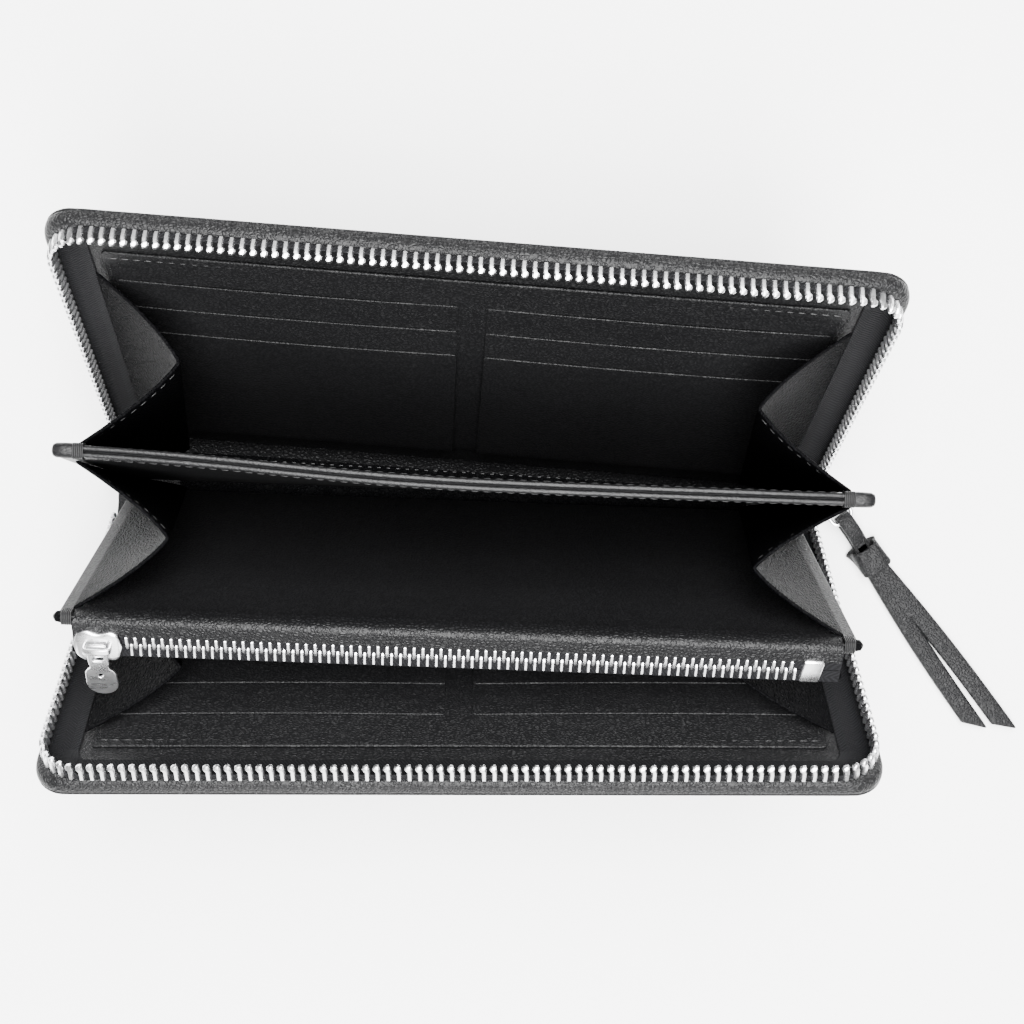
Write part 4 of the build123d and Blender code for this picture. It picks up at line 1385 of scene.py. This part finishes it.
def gussets(divider: Divider) -> list[Gusset]:
    """The six gussets: a pair for each compartment, between the leaves that part it.

    Args:
        divider: the divider, whose wave the gussets' edges follow.

    Returns:
        The gussets.
    """
    def divider_face(n: float) -> Callable[[Array, Array], Array]:
        return lambda x, z: np.stack(np.broadcast_arrays(x, n + divider.wave(x, z), z), -1)

    def leaf_face(leaf: Leaf, n: float) -> Callable[[Array, Array], Array]:
        return lambda x, z: leaf.place(x, z, n)

    made = []
    for hand in Hand:
        end = hand.name.lower()
        made.append(Gusset(f"rear_gusset_{end}", hand, ("root", "rear_cover"), divider_face(2.6),
                           leaf_face(REAR, 1.9)))
        made.append(Gusset(f"middle_gusset_{end}", hand, ("root", "coin_pocket"), divider_face(-0.6),
                           leaf_face(POCKET, -0.3)))
        made.append(Gusset(f"front_gusset_{end}", hand, ("coin_pocket", "front_cover"),
                           leaf_face(POCKET, 2.8), leaf_face(FRONT, 1.9), tops=(73.0, 88.0), fold_top=66.0))
    return made


# ---------------------------------------------------------------- spine, main slider and puller
@dataclass
class Spine:
    """The floor between the covers, its seams, and the ends of the main zip's tape."""

    half: float = 80.0

    def floor(self) -> Surface:
        """The lining on the floor: a strip, wider at its left end, that cups up a little at both edges."""
        x = stations(-self.half, self.half, 60, 0.3)[None]
        v = np.linspace(-1, 1, 11)[:, None]
        share_x = (x / COVER_HALF + 1) / 2
        front, rear = -8.6 + 1.0 * share_x, 8.1 - 4.5 * share_x
        y = (front + rear) / 2 + (rear - front) / 2 * v
        middle = np.stack((x + 0 * v, y, 1.7 + 0.5 * v ** 4 + 0 * x), -1)
        return even_sheet(middle, 0.6)

    def underside(self) -> Surface:
        """The shell leather's flat part under the pocket, between the two covers' folds."""
        x = stations(-COVER_HALF, COVER_HALF, 60, 0.5)[None]
        y = stations(-6.3, 0.3, 8, 0.3)[:, None]
        middle = np.stack(np.broadcast_arrays(x, y, 0.575), -1)
        return even_sheet(middle, 1.1)

    def seams(self) -> Surface:
        """The two stitch lines along the floor's edges."""
        x = np.linspace(-self.half + 4, self.half - 4, 80)
        share_x = (x / COVER_HALF + 1) / 2
        edges = (-7.2 + 1.0 * share_x, 6.9 - 4.3 * share_x)
        rows = [np.stack((x, y, np.full_like(x, 2.1)), -1) for y in edges]
        return Surface.joined([SEAM.along(row, np.array([0.0, 0.0, 1.0])) for row in rows])

    def build(self) -> None:
        """Makes the floor's pieces and the metal at the zip's left end."""
        leather = make("spine_shell_leather", self.underside(), SHELL_CALF, stands_for=["spine_leather"])
        bend_between(leather, ("root", "coin_pocket"), (0, 0.3, 0.5), (0, -6.3, 0.5))
        make("spine_floor_lining", self.floor(), SHADE_DARKENED_CALF, "root", ["spine_lining"])
        make("spine_floor_seams", self.seams(), THREAD, "root")
        ring = soft_box(5.0, 6.6, 1.0, 4)
        x = -97.9 - np.array([0.0, 0.12, 1.6, 1.8])
        size = np.array([0.9, 1.0, 1.0, 0.88])
        block = swelled(x, size, ring, 0.0, 4.6)
        tongue_x = np.array([-98.0, -97.8, -91.9, -91.5])
        tongue = swelled(tongue_x, np.ones(4), soft_box(3.0, 1.6, 0.5, 3), 0.0, 1.9)
        make("zip_end_plate", Surface.joined([block, tongue]), NICKEL, "root", ["main_zip_bottom_stop"])


@dataclass
class Puller:
    """The main slider at the spine's right end, its ring, and the leather strap with two tails."""

    slider_x: tuple[float, float] = (97.9, 101.3)
    post: tuple[float, float, float] = (105.3, -2.15, 4.0)
    heading: float = -52.4
    bend: tuple[float, float, float] = (107.466, -4.9626, 4.0)
    width: float = 5.0
    thickness: float = 1.9

    def local(self, along: Array, across: Array, up: Array) -> Array:
        """Turns the strap's own (along, across, up) into the wallet's x, y, z, from the ring's far bar."""
        a = math.radians(self.heading)
        ahead, side = np.array([math.cos(a), math.sin(a), 0]), np.array([-math.sin(a), math.cos(a), 0])
        along, across, up = np.broadcast_arrays(np.asarray(along, float), across, up)
        return (np.array(self.bend) + along[..., None] * ahead + across[..., None] * side
                + up[..., None] * np.array([0, 0, 1.0]))

    def slider(self) -> Surface:
        """The main slider: a body with two flaring plates, the tongue on the spine, arms and post."""
        low, high = self.slider_x
        u = np.array([0, 0.04, 0.12, 0.5, 0.88, 0.96, 1.0])
        x = low + u * (high - low)
        size = np.array([0.8, 0.94, 1.0, 0.93, 1.0, 0.94, 0.8])
        ring = soft_box(8.4, 8.2, 2.2, 5)
        parts = [swelled(x, size, ring, 0.0, 4.8)]
        tongue_x = np.array([91.6, 92.0, 98.2, 98.4])
        parts.append(swelled(tongue_x, np.ones(4), soft_box(3.0, 1.5, 0.5, 3), 0.0, 1.95))
        arm = soft_box(1.5, 0.9, 0.35, 3)
        arm_x = np.array([101.0, 101.2, 105.4, 105.9, 106.05])
        size = np.array([1, 1, 1, 0.85, 0.5])
        parts += [swelled(arm_x, size, arm, self.post[1], z) for z in (2.0, 6.0)]
        pin = circle(0.75, 14)
        pin_z = np.array([1.7, 1.9, 6.1, 6.3])
        parts.append(loft(np.stack(np.broadcast_arrays(
            self.post[0] + pin[None, :, 0], self.post[1] + pin[None, :, 1], pin_z[:, None]), -1)))
        return Surface.joined(parts)

    def ring(self) -> Surface:
        """The oblong ring: a round wire along a rectangle with rounded corners, from post to strap."""
        outline = soft_box(5.3, 6.4, 2.0, 8)
        path = self.local(outline[:, 0] - 2.65, outline[:, 1], 0.0)
        across, up = along_path(path, np.array([0.0, 0, 1]), wrap=True)
        return carried(circle(0.6, 12), path, across, up, wrap=True)

    def loop(self) -> Surface:
        """The strap's fold round the ring: a half turn, then both runs closing to the tails."""
        turn = np.linspace(math.pi * 1.5, math.pi * 0.5, 15)
        bow = np.stack((1.62 * np.cos(turn), 1.62 * np.sin(turn)), -1)
        under = np.array([(8.3, -2.6), (7.0, -2.4), (5.0, -2.0), (3.0, -1.75), (1.5, -1.63)])
        over = np.array([(1.5, 1.63), (3.0, 1.55), (5.0, 0.9), (7.0, -0.2), (8.3, -0.65)])
        line = np.concatenate((under, bow, over))
        path = self.local(line[:, 0], 0.0, line[:, 1])
        across, up = along_path(path, self.local(0, 1, 0) - self.local(0, 0, 0))
        return carried(soft_box(1.35, 4.3, 0.45, 4), path, across, up)

    def tail(self, length: float, turn: float, rest: float, droop: float) -> Surface:
        """One tail: it leaves the keeper, comes down to its resting height, and ends in a slant.

        The half width is even and falls to a point off the middle over the last stretch; the section is a
        box with painted, rounded edges; the line bows sideways a little.

        Args:
            length: its length.
            turn: degrees from the strap's heading.
            rest: height of its underside over the table near the tip.
            droop: share of the length by which it has come down.

        Returns:
            The closed tail.
        """
        u = np.concatenate(([0, 0.004, 0.01], np.linspace(0.03, 0.9, 34), np.linspace(0.905, 1.0, 14)))
        along = 8.2 + u * length
        start = -self.bend[2] + 0.35 + (self.thickness + 0.25 if rest > 1 else 0.0) + self.thickness / 2
        end = -self.bend[2] + rest + self.thickness / 2
        fall = np.clip((u - 0.12) / droop, 0, 1)
        up = start + (end - start) * fall ** 2 * (3 - 2 * fall)
        slant = np.clip((u * length - (length - self.width)) / self.width, 0, 1)
        low, high = -self.width / 2 + slant * self.width * 0.93, np.full_like(u, self.width / 2)
        high = high - np.clip((u * length - (length - 1.0)) / 1.0, 0, 1) * 0.1
        mid, half = (low + high) / 2, (high - low) / 2
        bow = 0.9 * np.sin(math.pi * u) * math.copysign(1.0, turn)
        soft = soft_box(2.0, self.thickness, 0.42, 4)
        size = np.sqrt(np.clip(np.minimum(u * length, (1 - u) * length) / 0.4, 0, 1))
        side = mid[:, None] + half[:, None] * soft[None, :, 0] + bow[:, None]
        high_up = up[:, None] + (0.35 + 0.65 * size[:, None]) * soft[None, :, 1]
        a = math.radians(turn)
        reach = along[:, None] - 8.2
        return loft(self.local(8.2 + reach * math.cos(a) - side * math.sin(a),
                               reach * math.sin(a) + side * math.cos(a), high_up))

    def keeper(self) -> Surface:
        """The keeper: a strip wound once round both tails, its overlap standing proud like a knot."""
        turn = np.linspace(0, 2 * math.pi, 41)[:-1]
        rounded = np.stack((np.sign(np.cos(turn)) * np.abs(np.cos(turn)) ** 0.55 * 3.7,
                            -1.85 + np.sign(np.sin(turn)) * np.abs(np.sin(turn)) ** 0.6 * 2.35), -1)
        swell = 1 + 0.08 * np.exp(-((turn - 1.2) / 0.5) ** 2)
        rounded = (rounded - (0, -1.85)) * swell[:, None] + (0, -1.85)
        slantwise = 0.9 * np.sin(turn)
        path = self.local(12.6 + slantwise, rounded[:, 0], np.maximum(rounded[:, 1], -3.45))
        across, up = along_path(path, self.local(1, 0, 0) - self.local(0, 0, 0), wrap=True)
        wrapped = carried(soft_box(1.0, 7.4, 0.45, 4), path, across, up, wrap=True)
        wrapped.points[:, 2] = np.maximum(wrapped.points[:, 2], 0.12)
        return wrapped

    def build(self) -> None:
        """Makes the slider, ring and strap."""
        make("main_slider_body", self.slider(), NICKEL, "root", ["main_zip_slider"])
        make("pull_ring_wire", self.ring(), NICKEL, "pull_ring", ["main_pull_ring"])
        make("strap_fold", self.loop(), STRAP_CALF, "strap", ["strap_loop"])
        make("strap_long_tail", self.tail(68.0, 2.9, 0.55, 0.7), STRAP_CALF, "strap", ["strap_tail_long"])
        make("strap_short_tail", self.tail(63.0, -2.9, 0.15, 0.4), STRAP_CALF, "strap", ["strap_tail_short"])
        make("strap_keeper_wrap", self.keeper(), STRAP_CALF, "strap", ["strap_keeper"])


# ---------------------------------------------------------------- studio
@dataclass
class Studio:
    """White paper under the wallet, an overhead soft box, three fills and the overhead camera."""

    camera_height: float = 0.4207
    lens: float = 52.13
    shift: tuple[float, float] = (0.0476, -0.0221)
    roll: float = 2.09

    def light(self, name: str, place: tuple[float, float, float], size: float, watts: float) -> None:
        """Adds a square soft box that faces the wallet.

        Args:
            name: its name.
            place: its place in metres.
            size: side of the square in metres.
            watts: its power.
        """
        lamp = bpy.data.lights.new(name, "AREA")
        lamp.size, lamp.energy = size, watts
        holder = bpy.data.objects.new(name, lamp)
        bpy.context.scene.collection.objects.link(holder)
        holder.location = place
        holder.rotation_euler = (-Vector(place)).to_track_quat("-Z", "Y").to_euler()

    def build(self) -> None:
        """Makes the floor, lights, world and camera."""
        mesh = bpy.data.meshes.new("studio_floor")
        reach, level = 3.0, -0.0003
        corners = [(x * reach, y * reach, level) for x, y in ((-1, -1), (1, -1), (1, 1), (-1, 1))]
        mesh.from_pydata(corners, [], [(0, 1, 2, 3)])
        mesh.materials.append(PAPER.material())
        floor = bpy.data.objects.new("studio_floor", mesh)
        bpy.context.scene.collection.objects.link(floor)
        world = bpy.data.worlds.new("studio_white")
        world.use_nodes = True
        world.node_tree.nodes["Background"].inputs[0].default_value = (1, 1, 1, 1)
        world.node_tree.nodes["Background"].inputs[1].default_value = 0.4
        bpy.context.scene.world = world
        self.light("soft_box_overhead", (0.0, 0.0, 1.2), 0.9, 75)
        self.light("soft_box_front", (0.1, -0.6, 1.0), 0.5, 34)
        self.light("soft_box_rear", (0.1, 0.6, 1.0), 0.5, 20)
        self.light("card_front", (0.0, -1.2, 0.35), 0.8, 10)
        camera = bpy.data.cameras.new("overhead_camera")
        camera.lens, camera.sensor_width = self.lens, 36.0
        camera.shift_x, camera.shift_y = self.shift
        camera.clip_start, camera.clip_end = 0.01, 20.0
        holder = bpy.data.objects.new("overhead_camera", camera)
        bpy.context.scene.collection.objects.link(holder)
        holder.location = (0, 0, self.camera_height)
        holder.rotation_euler = (0, 0, math.radians(self.roll))
        bpy.context.scene.camera = holder


def main() -> None:
    """Builds the wallet and the studio."""
    logging.basicConfig(level=logging.INFO, format="%(name)s: %(message)s")
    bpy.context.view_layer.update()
    divider = Divider()
    Cover("rear", REAR, spine_y=-0.5).build()
    Cover("front", FRONT, spine_y=-5.5).build()
    divider.build()
    CoinPocket().build()
    CoinZip().build()
    for gusset in gussets(divider):
        gusset.build()
    Spine().build()
    Puller().build()
    Studio().build()


if __name__ == "__main__":
    main()
